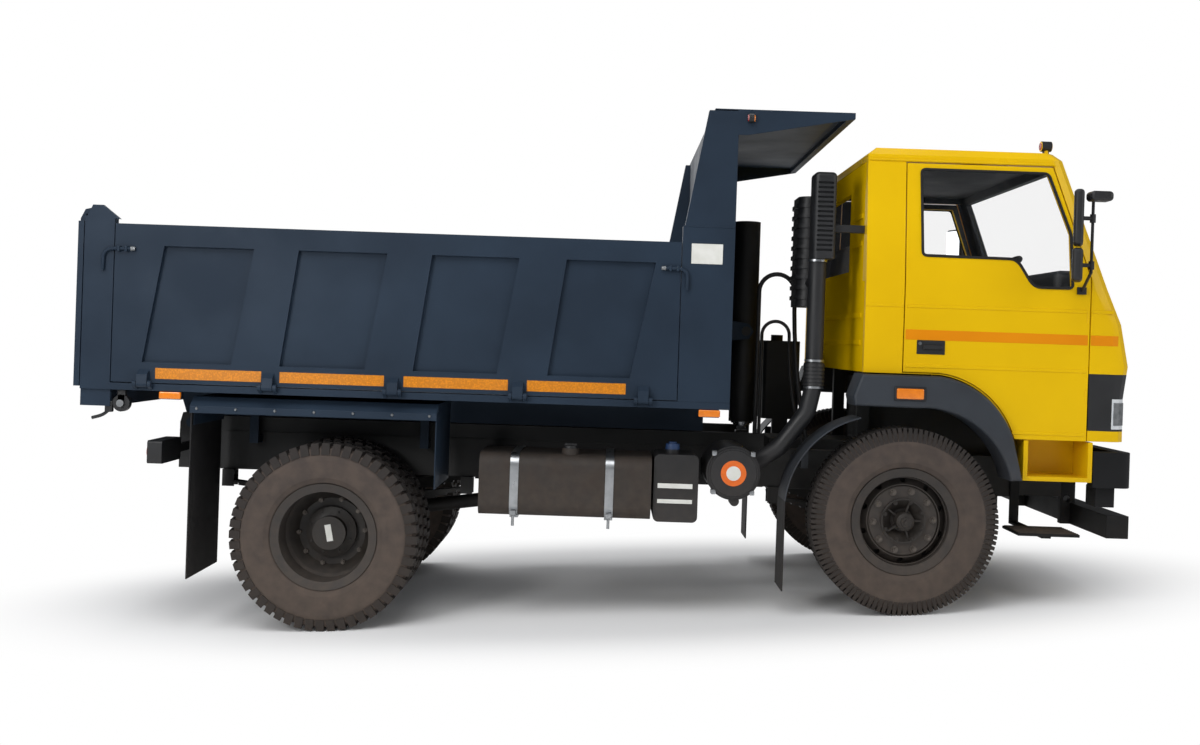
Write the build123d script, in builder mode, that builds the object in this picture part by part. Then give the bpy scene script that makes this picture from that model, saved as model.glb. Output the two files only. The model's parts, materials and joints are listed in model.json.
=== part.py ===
"""Two-axle tipper truck with a drop-side load bed, a forward cab and twin rear wheels.

All lengths are millimetres. The truck is drawn in its chassis frame: X forward, Y to the left, Z up,
with the origin at the centre of the rear axle. At the end every piece is tilted by the rake that the
unladen truck stands at and moved so that the tyres meet the ground and the truck is centred lengthwise.
"""
import math
import os

from build123d import *

os.makedirs("parts", exist_ok=True)

# Stance
RAKE = 3.4                     # degrees, nose down, because the empty rear springs stand high
WHEELBASE = 3150.0             # along the ground

# Wheels and tyres, 9.00-20
TYRE_R = 509.0                 # out to the tips of the lugs
TYRE_W = 256.0
TREAD_W = 220.0
BEAD_R = 256.0
BEAD_W = 176.0
BULGE_R = 400.0
SHOULDER_R = 498.0
RIM_WALL = 12.0
RIM_FLANGE_R = 289.0
RIM_FLANGE_T = 8.0
FIT = 0.05                     # radial running clearance of pins and shafts
SEAT = 0.3                     # clearance of a tyre on its rim
FRONT_TRACK_Y = 922.0          # centre line to the middle of a front tyre
REAR_OUTER_Y = 942.0           # centre line to the middle of an outer rear tyre
DUAL_PITCH = 290.0
DISC_T = 16.0
HAND_HOLES = 10
HAND_HOLE_R = 16.0
HAND_HOLE_PCD = 440.0

# Frame
RAIL_Y = 430.0                 # outer face of a side rail
RAIL_FLANGE = 70.0
RAIL_WEB = 8.0
RAIL_Z = 285.0                 # underside of a side rail
RAIL_H = 225.0
FRAME_REAR = -1000.0
FRAME_FRONT = 4200.0
CROSS_H = 80.0
CROSS_L = 90.0
CROSS_X = (-945.0, -330.0, 500.0, 1250.0, 1960.0, 4110.0)
SUB_H = 85.0                   # tipping sub-frame on top of the rails
SUB_REAR = -850.0
SUB_FRONT = 2440.0
RAIL_TOP = RAIL_Z + RAIL_H
SUB_TOP = RAIL_TOP + SUB_H

# Tipping hinge and hoist
TIP_X = -930.0
TIP_Z = 552.0
TIP_MAX = 48.0                 # degrees
TIP_PIN_R = 30.0
HOIST_X = 2349.0
HOIST_PIN_Z = 1200.0           # trunnion that hangs the barrel on the headboard
HOIST_FOOT_Z = 560.0
HOIST_TOP_Z = 1880.0
HOIST_LOW_Z = 640.0            # lower end of the barrel
HOIST_RADII = (80.0, 66.0, 53.0, 41.0)   # barrel, then each stage
HOIST_EYE_W = 50.0
HOIST_EYE_R = 42.0
HOIST_PIN_R = 22.0

# Load bed
BED_REAR = -1320.0             # rear face of the rear posts
POST_FRONT = -1160.0           # front face of the rear posts
BOARD_GAP = 5.0
CHEEK_REAR = 1887.0            # rear edge of the front cheek posts
CHEEK_FRONT = 2168.0
BED_Y = 1100.0                 # outer faces of rails, posts and boards
BOARD_T = 55.0
BED_Z = 763.0                  # underside of the side rail
FLOOR_Z = 800.0                # top of the floor plate
FLOOR_T = 6.0
FLOOR_PROUD = 2.0              # how far the floor sheet stands above its frame
BOARD_LOW = 806.0
BOARD_TOP = 1655.0
POST_TOP = 1690.0
CHEEK_WAIST_Z = 1742.0
CANOPY_Z = 2379.0
CANOPY_FRONT = 2792.0
HINGE_X = (-977.0, -308.0, 360.0, 1030.0, 1702.0)
HINGE_Y = 1125.0               # pin line of the drop sides
HINGE_R = 18.0
HINGE_PIN_R = 9.0
HINGE_W = 98.0
GATE_X = -1355.0               # rear face of the tailgate
GATE_T = 30.0
GATE_LOW = 777.0
GATE_TOP = 1662.0
GATE_PIVOT_X = -1254.0
GATE_PIVOT_Z = 1733.0
GATE_PIN_R = 12.0

# Cab
CAB_Y = 1040.0
CAB_REAR = 2890.0
CAB_WALL = 40.0
CAB_DECK_Z = 990.0             # underside of the cab over the front wheels
CAB_FLOOR_Z = 656.0            # underside of the foot wells
ROOF_Z = 2222.0
BELT_Z = 1489.0
TUMBLE = 60.0                  # how far the sides lean in at the roof
DOOR_REAR = 3105.0
DOOR_FRONT = 4106.0
DOOR_TOP = 2138.0
DOOR_GAP = 6.0
DOOR_HINGE_X = 4098.0
DOOR_HINGE_Y = 1036.0
GLASS_T = 6.0

# Steering
KINGPIN_Y = 790.0
KINGPIN_R = 22.0
ARM_BACK = 180.0
ARM_Y = 750.0
ARM_Z = -105.0
BALL_R = 12.0
SPINDLE_R = 32.0

RAKE_RAD = math.radians(RAKE)
FRONT_X = WHEELBASE * math.cos(RAKE_RAD)      # front hub in the chassis frame
FRONT_Z = WHEELBASE * math.sin(RAKE_RAD)


def across(side, low, high):
    """A y interval on one side of the truck."""
    return (low, high) if side > 0 else (-high, -low)


def block(x, y, z, mode=Mode.ADD):
    """A box given by its low and high bound along each axis."""
    with Locations((sum(x) / 2, sum(y) / 2, sum(z) / 2)):
        Box(x[1] - x[0], y[1] - y[0], z[1] - z[0], mode=mode)


def pair(x, y, z, mode=Mode.ADD):
    """The same box on both sides of the truck, its y bounds given for the left side."""
    block(x, y, z, mode)
    block(x, (-y[1], -y[0]), z, mode)


def rod(centre, radius, y, mode=Mode.ADD):
    """A cylinder across the truck at (x, z), from y[0] to y[1]."""
    with Locations(Location((centre[0], (y[0] + y[1]) / 2, centre[1]), (90, 0, 0))):
        Cylinder(radius, y[1] - y[0], mode=mode)


def post(centre, radius, z, mode=Mode.ADD):
    """An upright cylinder at (x, y), from z[0] to z[1]."""
    with Locations((centre[0], centre[1], (z[0] + z[1]) / 2)):
        Cylinder(radius, z[1] - z[0], mode=mode)


def side_plate(points, y, mode=Mode.ADD):
    """A straight-sided outline in side view, given as (x, z) corners, from y[0] to y[1]."""
    with BuildSketch(Plane.XZ.offset(-y[1])) as outline:
        with BuildLine():
            Polyline(*points, close=True)
        make_face()
    extrude(outline.sketch, amount=y[1] - y[0], mode=mode)


def cross_plate(points, x, mode=Mode.ADD):
    """A straight-sided outline seen from the front, given as (y, z) corners, from x[0] to x[1]."""
    with BuildSketch(Plane.YZ.offset(x[0])) as outline:
        with BuildLine():
            Polyline(*points, close=True)
        make_face()
    extrude(outline.sketch, amount=x[1] - x[0], mode=mode)


def both_sides(points, y, mode=Mode.ADD):
    """A side plate on the left and its twin on the right."""
    side_plate(points, y, mode)
    side_plate(points, (-y[1], -y[0]), mode)


def pipe(points, radii, radius, mode=Mode.ADD):
    """A round pipe along straight runs joined by tangent arcs."""
    with BuildLine() as path:
        FilletPolyline(*points, radius=radii)
    start = path.line @ 0
    with BuildSketch(Plane(origin=start, z_dir=path.line % 0)) as section:
        Circle(radius)
    sweep(section.sketch, path=path.line, mode=mode)


def bar(start, end, radius, mode=Mode.ADD):
    """A straight round bar between two points."""
    run = Vector(*end) - Vector(*start)
    with Locations(Plane(origin=start, z_dir=run).location):
        Cylinder(radius, run.length, align=(Align.CENTER, Align.CENTER, Align.MIN), mode=mode)


pieces = {}


def keep(name, builder):
    """Files a finished piece under its node name."""
    builder.part.label = name
    pieces[name] = builder.part


# Ladder frame: two channel rails, cross members, the tipping sub-frame and its rear hinge brackets
RAIL_SECTION = (
    (RAIL_Y, RAIL_Z),
    (RAIL_Y, RAIL_TOP),
    (RAIL_Y - RAIL_FLANGE, RAIL_TOP),
    (RAIL_Y - RAIL_FLANGE, RAIL_TOP - RAIL_WEB),
    (RAIL_Y - RAIL_WEB, RAIL_TOP - RAIL_WEB),
    (RAIL_Y - RAIL_WEB, RAIL_Z + RAIL_WEB),
    (RAIL_Y - RAIL_FLANGE, RAIL_Z + RAIL_WEB),
    (RAIL_Y - RAIL_FLANGE, RAIL_Z),
)
CROSS_Z = (RAIL_TOP - RAIL_WEB - CROSS_H, RAIL_TOP - RAIL_WEB)
BRACKET_Y = (RAIL_Y - 58.0, RAIL_Y - 2.0)
LUG_Y = (300.0, RAIL_Y - RAIL_FLANGE - 5.0)
FOOT_EAR_Y = (HOIST_EYE_W / 2 + 6.0, HOIST_EYE_W / 2 + 26.0)
FOOT_EAR_H = 28.0              # top of a foot ear above the hoist's foot pin

# Leaf springs: axle seat, half span, camber, leaf count, leaf thickness
SPRING_Y = (374.0, 446.0)
SPRING_EYE_R = 26.0
SPRING_PIN_R = 14.0
HANGER_T = 8.0
HANGER_L = 70.0
SPRINGS = (
    # name, centre x, seat z, half span, eye rise, leaves, leaf thickness
    ("front", FRONT_X, FRONT_Z - 62.0, 640.0, 40.0, 6, 11.0),
    ("rear", 0.0, 82.0, 700.0, 46.0, 8, 12.0),
)


def spring_eye(row):
    """Height of a spring's eyes above the chassis origin."""
    _, _, seat_z, _, rise, leaves, leaf_t = row
    return seat_z + leaves * leaf_t + rise


with BuildPart() as chassis_frame:
    for side in (1, -1):
        cross_plate([(side * y, z) for y, z in RAIL_SECTION], (FRAME_REAR, FRAME_FRONT))
    for x in CROSS_X:
        block((x - CROSS_L / 2, x + CROSS_L / 2), (RAIL_WEB - RAIL_Y, RAIL_Y - RAIL_WEB), CROSS_Z)
    hoist_cross = (HOIST_X - 70.0, HOIST_X + 70.0)
    block(hoist_cross, (RAIL_WEB - RAIL_Y, RAIL_Y - RAIL_WEB), CROSS_Z)
    # sub-frame channels and the ears that carry the tipping shaft
    pair((SUB_REAR, SUB_FRONT), (RAIL_Y - 65.0, RAIL_Y - 5.0), (RAIL_TOP, SUB_TOP))
    both_sides(
        [
            (FRAME_REAR, RAIL_TOP),
            (SUB_REAR, RAIL_TOP),
            (SUB_REAR, SUB_TOP),
            (TIP_X + 55.0, TIP_Z + TIP_PIN_R + 26.0),
            (TIP_X - 55.0, TIP_Z + TIP_PIN_R + 26.0),
            (FRAME_REAR, TIP_Z),
        ],
        BRACKET_Y,
    )
    rod((TIP_X, TIP_Z), TIP_PIN_R + FIT, (-RAIL_Y, RAIL_Y), Mode.SUBTRACT)
    # foot ears of the hoist with a stub pin in each
    both_sides(
        [
            (HOIST_X - 60.0, CROSS_Z[1]),
            (HOIST_X + 60.0, CROSS_Z[1]),
            (HOIST_X + 34.0, HOIST_FOOT_Z + FOOT_EAR_H),
            (HOIST_X - 34.0, HOIST_FOOT_Z + FOOT_EAR_H),
        ],
        FOOT_EAR_Y,
    )
    for side in (1, -1):
        low, high = FOOT_EAR_Y[0] - 5.0, FOOT_EAR_Y[1] + 12.0
        rod((HOIST_X, HOIST_FOOT_Z), HOIST_PIN_R, (low, high) if side > 0 else (-high, -low))
    # hangers of the leaf springs
    for row in SPRINGS:
        _, centre_x, _, span, _, _, _ = row
        eye_z = spring_eye(row)
        for x in (centre_x - span, centre_x + span):
            for low in (SPRING_Y[0] - HANGER_T, SPRING_Y[1]):
                pair(
                    (x - HANGER_L / 2, x + HANGER_L / 2),
                    (low, low + HANGER_T),
                    (eye_z - SPRING_EYE_R - 12.0, RAIL_Z),
                )
            pair(
                (x - HANGER_L / 2, x + HANGER_L / 2),
                (SPRING_Y[0] - HANGER_T, SPRING_Y[1] + HANGER_T),
                (RAIL_Z - HANGER_T, RAIL_Z),
            )
    # cab mounts, rear pair under the deck and front pair under the foot wells
    pair((2985.0, 3055.0), (RAIL_Y - 55.0, RAIL_Y), (RAIL_TOP, CAB_DECK_Z))
    pair((4050.0, 4120.0), (RAIL_Y - 55.0, RAIL_Y), (RAIL_TOP, CAB_FLOOR_Z))
keep("chassis_frame", chassis_frame)

# Leaf spring packs: stepped leaves of one curvature, rolled eyes and pins
with BuildPart() as leaf_springs:
    for row in SPRINGS:
        _, centre_x, seat_z, span, rise, leaves, leaf_t = row
        for side in (1, -1):
            y = SPRING_Y if side > 0 else (-SPRING_Y[1], -SPRING_Y[0])
            for leaf in range(leaves):
                half = span * (1.0 - 0.085 * (leaves - 1 - leaf))
                low = seat_z + leaf * leaf_t
                lift = rise * (half / span) ** 2
                with BuildSketch(Plane.XZ.offset(-y[1])) as blade:
                    with BuildLine():
                        lower = ThreePointArc(
                            (centre_x - half, low + lift), (centre_x, low), (centre_x + half, low + lift)
                        )
                        upper = ThreePointArc(
                            (centre_x - half, low + lift + leaf_t),
                            (centre_x, low + leaf_t),
                            (centre_x + half, low + lift + leaf_t),
                        )
                        Line(lower @ 0, upper @ 0)
                        Line(lower @ 1, upper @ 1)
                    make_face()
                extrude(blade.sketch, amount=y[1] - y[0])
            eye_z = spring_eye(row)
            for x in (centre_x - span, centre_x + span):
                rod((x, eye_z), SPRING_EYE_R, y)
keep("leaf_springs", leaf_springs)

# Front bumper with its end returns, the lower cross bar and the two entry steps
BUMPER_Z = (406.0, 600.0)
BUMPER_X = (4149.0, 4366.0)
BUMPER_BEAM = 85.0
BUMPER_END = 80.0
APRON_LOW = 295.0
BAR_X = (4255.0, 4378.0)
BAR_Z = (126.0, 251.0)
BAR_Y = 980.0
STEP_X = (3756.0, 4092.0)
STEP_Z = (133.0, 149.0)
STEP_Y = (760.0, CAB_Y)
STEP_ARM_X = (3895.0, 3950.0)
STEP_ARM_T = 16.0
TOW_PIN_R = 20.0
TOW_PIN = (FRAME_FRONT + 35.0, (BAR_Z[1] + APRON_LOW) / 2)   # between the bar and the apron

with BuildPart() as front_bumper:
    beam_x = (BUMPER_X[1] - BUMPER_BEAM, BUMPER_X[1])
    block(beam_x, (-CAB_Y, CAB_Y), BUMPER_Z)
    pair((BUMPER_X[0], BUMPER_X[1]), (CAB_Y - BUMPER_END, CAB_Y), BUMPER_Z)
    corners = front_bumper.edges().filter_by(Axis.Z).group_by(Axis.X)[-1]
    fillet(corners, radius=BUMPER_END * 0.7)
    block((FRAME_FRONT, beam_x[0]), (-RAIL_Y, RAIL_Y), (RAIL_Z + 60.0, RAIL_TOP))
    pair((BUMPER_X[0] + 40.0, BAR_X[0] + 40.0), (CAB_Y - 200.0, CAB_Y - 60.0), (APRON_LOW, BUMPER_Z[0]))
    # drop brackets and the square bar below
    pair((FRAME_FRONT, BAR_X[0] + 30.0), (RAIL_Y - 50.0, RAIL_Y), (BAR_Z[0], RAIL_TOP))
    block(BAR_X, (-BAR_Y, BAR_Y), BAR_Z)
    # bores for recovery pins in the drop brackets
    rod(TOW_PIN, TOW_PIN_R, (-RAIL_Y - 5.0, RAIL_Y + 5.0), Mode.SUBTRACT)
    # steps on flat arms that drop from the rails
    pair(STEP_X, STEP_Y, STEP_Z)
    pair(STEP_ARM_X, (RAIL_Y, STEP_Y[1] - 40.0), (STEP_Z[0] - STEP_ARM_T, STEP_Z[0]))
    pair(STEP_ARM_X, (RAIL_Y, RAIL_Y + STEP_ARM_T), (STEP_Z[0] - STEP_ARM_T, RAIL_TOP - 40.0))
keep("front_bumper", front_bumper)

# Engine and gearbox, one plain mass between the rails with its feet on the webs
ENGINE_X = (3060.0, 3940.0)
ENGINE_Y = 330.0
ENGINE_Z = (262.0, 955.0)
GEARBOX_REAR = 2500.0
GEARBOX_Y = 190.0
GEARBOX_Z = (250.0, 560.0)
OUTPUT_Z = 350.0
FOOT_L = 60.0
with BuildPart() as engine_block:
    block(ENGINE_X, (-ENGINE_Y, ENGINE_Y), ENGINE_Z)
    block((GEARBOX_REAR, ENGINE_X[0]), (-GEARBOX_Y, GEARBOX_Y), GEARBOX_Z)
    for x in (ENGINE_X[0] + 40.0, ENGINE_X[1] - 40.0 - FOOT_L):
        pair((x, x + FOOT_L), (ENGINE_Y, RAIL_Y - RAIL_WEB), (RAIL_Z + 90.0, RAIL_Z + 150.0))
keep("engine_block", engine_block)

# Rear axle: banjo casing, tubes, spindles and spring seats
BANJO_R = 190.0
BANJO_X = 105.0
TUBE_R = 65.0
TUBE_END = 690.0
REAR_SPINDLE_R = 46.0
REAR_SPINDLE_END = 868.0
PINION_R = 68.0
PINION_X = 262.0
PINION_Z = 30.0
_, _, REAR_SEAT_Z, _, _, _, _ = SPRINGS[1]
_, _, FRONT_SEAT_Z, _, _, _, _ = SPRINGS[0]
SEAT_L = 120.0
with BuildPart() as rear_axle:
    with Locations(Location((0, 0, 0), (0, 90, 0))):
        Cylinder(BANJO_R, 2 * BANJO_X)
    rim_edges = rear_axle.edges().filter_by(GeomType.CIRCLE)
    chamfer(rim_edges, length=45.0)
    rod((0, 0), TUBE_R, (-TUBE_END, TUBE_END))
    rod((0, 0), REAR_SPINDLE_R, (-REAR_SPINDLE_END, REAR_SPINDLE_END))
    pair((-SEAT_L / 2, SEAT_L / 2), SPRING_Y, (0.0, REAR_SEAT_Z))
    bar((0, 0, PINION_Z), (PINION_X, 0, PINION_Z), PINION_R)
keep("rear_axle", rear_axle)

# Propeller shaft with a flange at each end
SHAFT_R = 42.0
FLANGE_R = 62.0
FLANGE_L = 30.0
with BuildPart() as propeller_shaft:
    bar((PINION_X, 0, PINION_Z), (GEARBOX_REAR, 0, OUTPUT_Z), SHAFT_R)
    block((PINION_X, PINION_X + 60.0), (-400.0, 400.0), (-200.0, 200.0), Mode.SUBTRACT)
    block((GEARBOX_REAR - 60.0, GEARBOX_REAR + 60.0), (-400.0, 400.0), (150.0, 550.0), Mode.SUBTRACT)
    bar((PINION_X, 0, PINION_Z), (PINION_X + 75.0, 0, PINION_Z + 6.0), FLANGE_R * 0.75)
    bar((PINION_X, 0, PINION_Z), (PINION_X + FLANGE_L, 0, PINION_Z), FLANGE_R)
    bar((GEARBOX_REAR - 75.0, 0, OUTPUT_Z - 6.0), (GEARBOX_REAR, 0, OUTPUT_Z), FLANGE_R * 0.75)
    bar((GEARBOX_REAR - FLANGE_L, 0, OUTPUT_Z), (GEARBOX_REAR, 0, OUTPUT_Z), FLANGE_R)
    block((PINION_X - 100.0, PINION_X), (-400.0, 400.0), (-200.0, 300.0), Mode.SUBTRACT)
    block((GEARBOX_REAR, GEARBOX_REAR + 100.0), (-400.0, 400.0), (150.0, 600.0), Mode.SUBTRACT)
keep("propeller_shaft", propeller_shaft)

# Front axle: dropped beam, bosses and king pins
BOSS_R = 40.0
BOSS_H = 55.0
KINGPIN_H = 106.0
BEAM_X = 45.0
BEAM_DROP = FRONT_SEAT_Z - FRONT_Z
BEAM_DEPTH = 85.0
with BuildPart() as front_axle:
    half_beam = [
        (0.0, FRONT_Z + BEAM_DROP - BEAM_DEPTH),
        (580.0, FRONT_Z + BEAM_DROP - BEAM_DEPTH),
        (705.0, FRONT_Z - 45.0),
        (KINGPIN_Y, FRONT_Z - 45.0),
        (KINGPIN_Y, FRONT_Z + 45.0),
        (690.0, FRONT_Z + 45.0),
        (560.0, FRONT_Z + BEAM_DROP),
        (0.0, FRONT_Z + BEAM_DROP),
    ]
    for side in (1, -1):
        cross_plate([(side * y, z) for y, z in half_beam], (FRONT_X - BEAM_X, FRONT_X + BEAM_X))
        king = (FRONT_X, side * KINGPIN_Y)
        post(king, BOSS_R, (FRONT_Z - BOSS_H, FRONT_Z + BOSS_H))
        block(
            (FRONT_X - BEAM_X - 1.0, FRONT_X + BEAM_X + 1.0),
            (KINGPIN_Y, KINGPIN_Y + 60.0) if side > 0 else (-KINGPIN_Y - 60.0, -KINGPIN_Y),
            (FRONT_Z - BOSS_H, FRONT_Z + BOSS_H),
            Mode.SUBTRACT,
        )
        post(king, BOSS_R, (FRONT_Z - BOSS_H, FRONT_Z + BOSS_H))
        post(king, KINGPIN_R, (FRONT_Z - KINGPIN_H, FRONT_Z + KINGPIN_H))
keep("front_axle", front_axle)

# Steering knuckles: a fork on the king pin, a back plate, the wheel spindle and the track arm
EYE_R = 48.0
EYE_Z = (58.0, 106.0)
PLATE_Y = (838.0, 862.0)
PLATE_X = 55.0
SPINDLE_END = 1000.0
ARM_T = 26.0
BALL_DROP = 45.0
for side, name in ((1, "knuckle_left"), (-1, "knuckle_right")):
    with BuildPart() as knuckle:
        for low, high in (EYE_Z, (-EYE_Z[1], -EYE_Z[0])):
            z = (FRONT_Z + low, FRONT_Z + high)
            post((FRONT_X, side * KINGPIN_Y), EYE_R, z)
            y = (KINGPIN_Y, PLATE_Y[0]) if side > 0 else (-PLATE_Y[0], -KINGPIN_Y)
            block((FRONT_X - EYE_R, FRONT_X + EYE_R), y, z)
        y = PLATE_Y if side > 0 else (-PLATE_Y[1], -PLATE_Y[0])
        block((FRONT_X - PLATE_X, FRONT_X + PLATE_X), y, (FRONT_Z - EYE_Z[1], FRONT_Z + EYE_Z[1]))
        y = (PLATE_Y[0], SPINDLE_END) if side > 0 else (-SPINDLE_END, -PLATE_Y[0])
        rod((FRONT_X, FRONT_Z), SPINDLE_R, y)
        # track arm, trailing back from the lower eye
        arm_z = FRONT_Z + ARM_Z
        with BuildSketch(Plane.XY.offset(arm_z)) as arm:
            with BuildLine():
                Polyline(
                    (FRONT_X - 20.0, side * (KINGPIN_Y + 30.0)),
                    (FRONT_X - 20.0, side * (KINGPIN_Y - 30.0)),
                    (FRONT_X - ARM_BACK - 24.0, side * (ARM_Y - 22.0)),
                    (FRONT_X - ARM_BACK - 24.0, side * (ARM_Y + 22.0)),
                    close=True,
                )
            make_face()
        extrude(arm.sketch, amount=ARM_T)
        post((FRONT_X - ARM_BACK, side * ARM_Y), BALL_R, (arm_z - BALL_DROP, arm_z + ARM_T))
        post((FRONT_X, side * KINGPIN_Y), KINGPIN_R + FIT, (FRONT_Z - 200.0, FRONT_Z + 200.0), Mode.SUBTRACT)
    keep(name, knuckle)

# Track rod between the two arms
ROD_R = 18.0
ROD_EYE_R = 26.0
with BuildPart() as track_rod:
    rod_z = FRONT_Z + ARM_Z - BALL_DROP / 2 - 4.0
    rod((FRONT_X - ARM_BACK, rod_z), ROD_R, (-ARM_Y, ARM_Y))
    for side in (1, -1):
        post((FRONT_X - ARM_BACK, side * ARM_Y), ROD_EYE_R, (rod_z - ROD_R - 2.0, rod_z + ROD_R + 2.0))
    for side in (1, -1):
        ball = (FRONT_X - ARM_BACK, side * ARM_Y)
        post(ball, BALL_R + FIT, (rod_z - 100.0, rod_z + 100.0), Mode.SUBTRACT)
keep("track_rod", track_rod)

# Wheels. A tyre and a rim are turned about their axle, at the given place along it
TYRE_SECTION = (
    # radius, distance from the tyre's middle
    (BEAD_R, BEAD_W / 2),
    (BULGE_R, TYRE_W / 2),
    (SHOULDER_R, TREAD_W / 2 + 8.0),
    (TYRE_R, TREAD_W / 2),
)


def turned(profile, hub_x, hub_z, mode=Mode.ADD):
    """Turns a (radius, y) outline about the axle through (hub_x, hub_z)."""
    with BuildSketch(Plane.XY.offset(hub_z)) as outline:
        with BuildLine():
            Polyline(*[(hub_x + r, y) for r, y in profile], close=True)
        make_face()
    revolve(outline.sketch, axis=Axis((hub_x, 0, hub_z), (0, 1, 0)), mode=mode)


def tyre(hub_x, hub_z, middle_y):
    """One tyre centred at middle_y."""
    right = [(r, middle_y - w) for r, w in TYRE_SECTION]
    left = [(r, middle_y + w) for r, w in reversed(TYRE_SECTION)]
    turned(right + left, hub_x, hub_z)


def rim_barrel(hub_x, hub_z, middle_y):
    """The well of a rim with a flange at each lip."""
    lip = BEAD_W / 2 + SEAT
    seat = BEAD_R - SEAT
    right = [
        (seat, middle_y - lip),
        (RIM_FLANGE_R, middle_y - lip - 10.0),
        (RIM_FLANGE_R, middle_y - lip - 10.0 - RIM_FLANGE_T),
        (seat - RIM_WALL, middle_y - lip - RIM_FLANGE_T),
    ]
    left = [(r, 2 * middle_y - y) for r, y in reversed(right)]
    turned(right + left, hub_x, hub_z)


FRONT_DISC_Y = 985.0           # outer face of the front wheel disc
FRONT_HUB_R = 124.0
FRONT_HUB_END = 1058.0
HUB_RECESS = 34.0              # how far the hub is sunk round its cap
HUB_IN = 868.0
DISC_HUB_R = 185.0
CAP_R = 48.0
HUB_RIBS = 5                   # webs in the sunk ring
HUB_RIB_T = 9.0
REAR_DISC_Y = REAR_OUTER_Y - DUAL_PITCH / 2
REAR_HUB_R = 140.0
REAR_HUB_IN = 702.0
REAR_HUB_END = 905.0
REAR_CAP_R = 92.0
for side, tag in ((1, "left"), (-1, "right")):
    with BuildPart() as front_tyre:
        tyre(FRONT_X, FRONT_Z, side * FRONT_TRACK_Y)
    keep("front_tyre_" + tag, front_tyre)

    with BuildPart() as front_rim:
        rim_barrel(FRONT_X, FRONT_Z, side * FRONT_TRACK_Y)
        # dished disc: flat ring for the nuts outboard, cone back to the rim well
        well = BEAD_R - SEAT - RIM_WALL + 2.0
        disc = [
            (well, FRONT_DISC_Y - 70.0),
            (DISC_HUB_R, FRONT_DISC_Y),
            (FRONT_HUB_R - 2.0, FRONT_DISC_Y),
            (FRONT_HUB_R - 2.0, FRONT_DISC_Y - DISC_T),
            (DISC_HUB_R - 6.0, FRONT_DISC_Y - DISC_T),
            (well, FRONT_DISC_Y - 70.0 - DISC_T),
        ]
        turned([(r, side * y) for r, y in disc], FRONT_X, FRONT_Z)
        hub = [
            (SPINDLE_R + FIT, HUB_IN),
            (FRONT_HUB_R, HUB_IN),
            (FRONT_HUB_R, FRONT_DISC_Y + 14.0),
            (FRONT_HUB_R - 10.0, FRONT_DISC_Y + 14.0),
            (CAP_R + 14.0, FRONT_DISC_Y - HUB_RECESS),
            (CAP_R, FRONT_DISC_Y - HUB_RECESS),
            (CAP_R, FRONT_HUB_END - 14.0),
            (CAP_R - 14.0, FRONT_HUB_END),
            (0.0, FRONT_HUB_END),
            (0.0, SPINDLE_END + 8.0),
            (SPINDLE_R + FIT, SPINDLE_END + 8.0),
        ]
        turned([(r, side * y) for r, y in hub], FRONT_X, FRONT_Z)
        for k in range(HUB_RIBS):
            web_y = (FRONT_DISC_Y - HUB_RECESS - 5.0, FRONT_DISC_Y + 2.0)
            web_y = web_y if side > 0 else (-web_y[1], -web_y[0])
            web_r = (CAP_R + FRONT_HUB_R - 8.0) / 2
            with Locations(Location((FRONT_X, sum(web_y) / 2, FRONT_Z), (0, 360.0 * k / HUB_RIBS, 0))):
                with Locations((web_r, 0.0, 0.0)):
                    Box(FRONT_HUB_R - CAP_R, web_y[1] - web_y[0], HUB_RIB_T)
        for k in range(HAND_HOLES):
            angle = 2 * math.pi * (k + 0.5) / HAND_HOLES
            hole = (
                FRONT_X + HAND_HOLE_PCD / 2 * math.cos(angle),
                FRONT_Z + HAND_HOLE_PCD / 2 * math.sin(angle),
            )
            span = (FRONT_DISC_Y - 90.0, FRONT_DISC_Y + 30.0)
            rod(hole, HAND_HOLE_R, span if side > 0 else (-span[1], -span[0]), Mode.SUBTRACT)
    keep("front_rim_" + tag, front_rim)

    with BuildPart() as rear_tyres:
        tyre(0.0, 0.0, side * REAR_OUTER_Y)
        tyre(0.0, 0.0, side * (REAR_OUTER_Y - DUAL_PITCH))
    keep("rear_tyres_" + tag, rear_tyres)

    with BuildPart() as rear_rims:
        rim_barrel(0.0, 0.0, side * REAR_OUTER_Y)
        rim_barrel(0.0, 0.0, side * (REAR_OUTER_Y - DUAL_PITCH))
        for out in (1, -1):
            well = BEAD_R - SEAT - RIM_WALL + 2.0
            face = REAR_DISC_Y
            disc = [
                (REAR_HUB_R - 2.0, face),
                (DISC_HUB_R + 10.0, face),
                (well, face + out * 75.0),
                (well, face + out * (75.0 + DISC_T)),
                (DISC_HUB_R, face + out * DISC_T),
                (REAR_HUB_R - 2.0, face + out * DISC_T),
            ]
            turned([(r, side * y) for r, y in disc], 0.0, 0.0)
        hub = [
            (REAR_SPINDLE_R + FIT, REAR_HUB_IN),
            (REAR_HUB_R, REAR_HUB_IN),
            (REAR_HUB_R, REAR_DISC_Y + 45.0),
            (REAR_CAP_R, REAR_DISC_Y + 60.0),
            (REAR_CAP_R, REAR_HUB_END),
            (0.0, REAR_HUB_END),
            (0.0, REAR_SPINDLE_END + 8.0),
            (REAR_SPINDLE_R + FIT, REAR_SPINDLE_END + 8.0),
        ]
        turned([(r, side * y) for r, y in hub], 0.0, 0.0)
    keep("rear_rims_" + tag, rear_rims)

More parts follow.
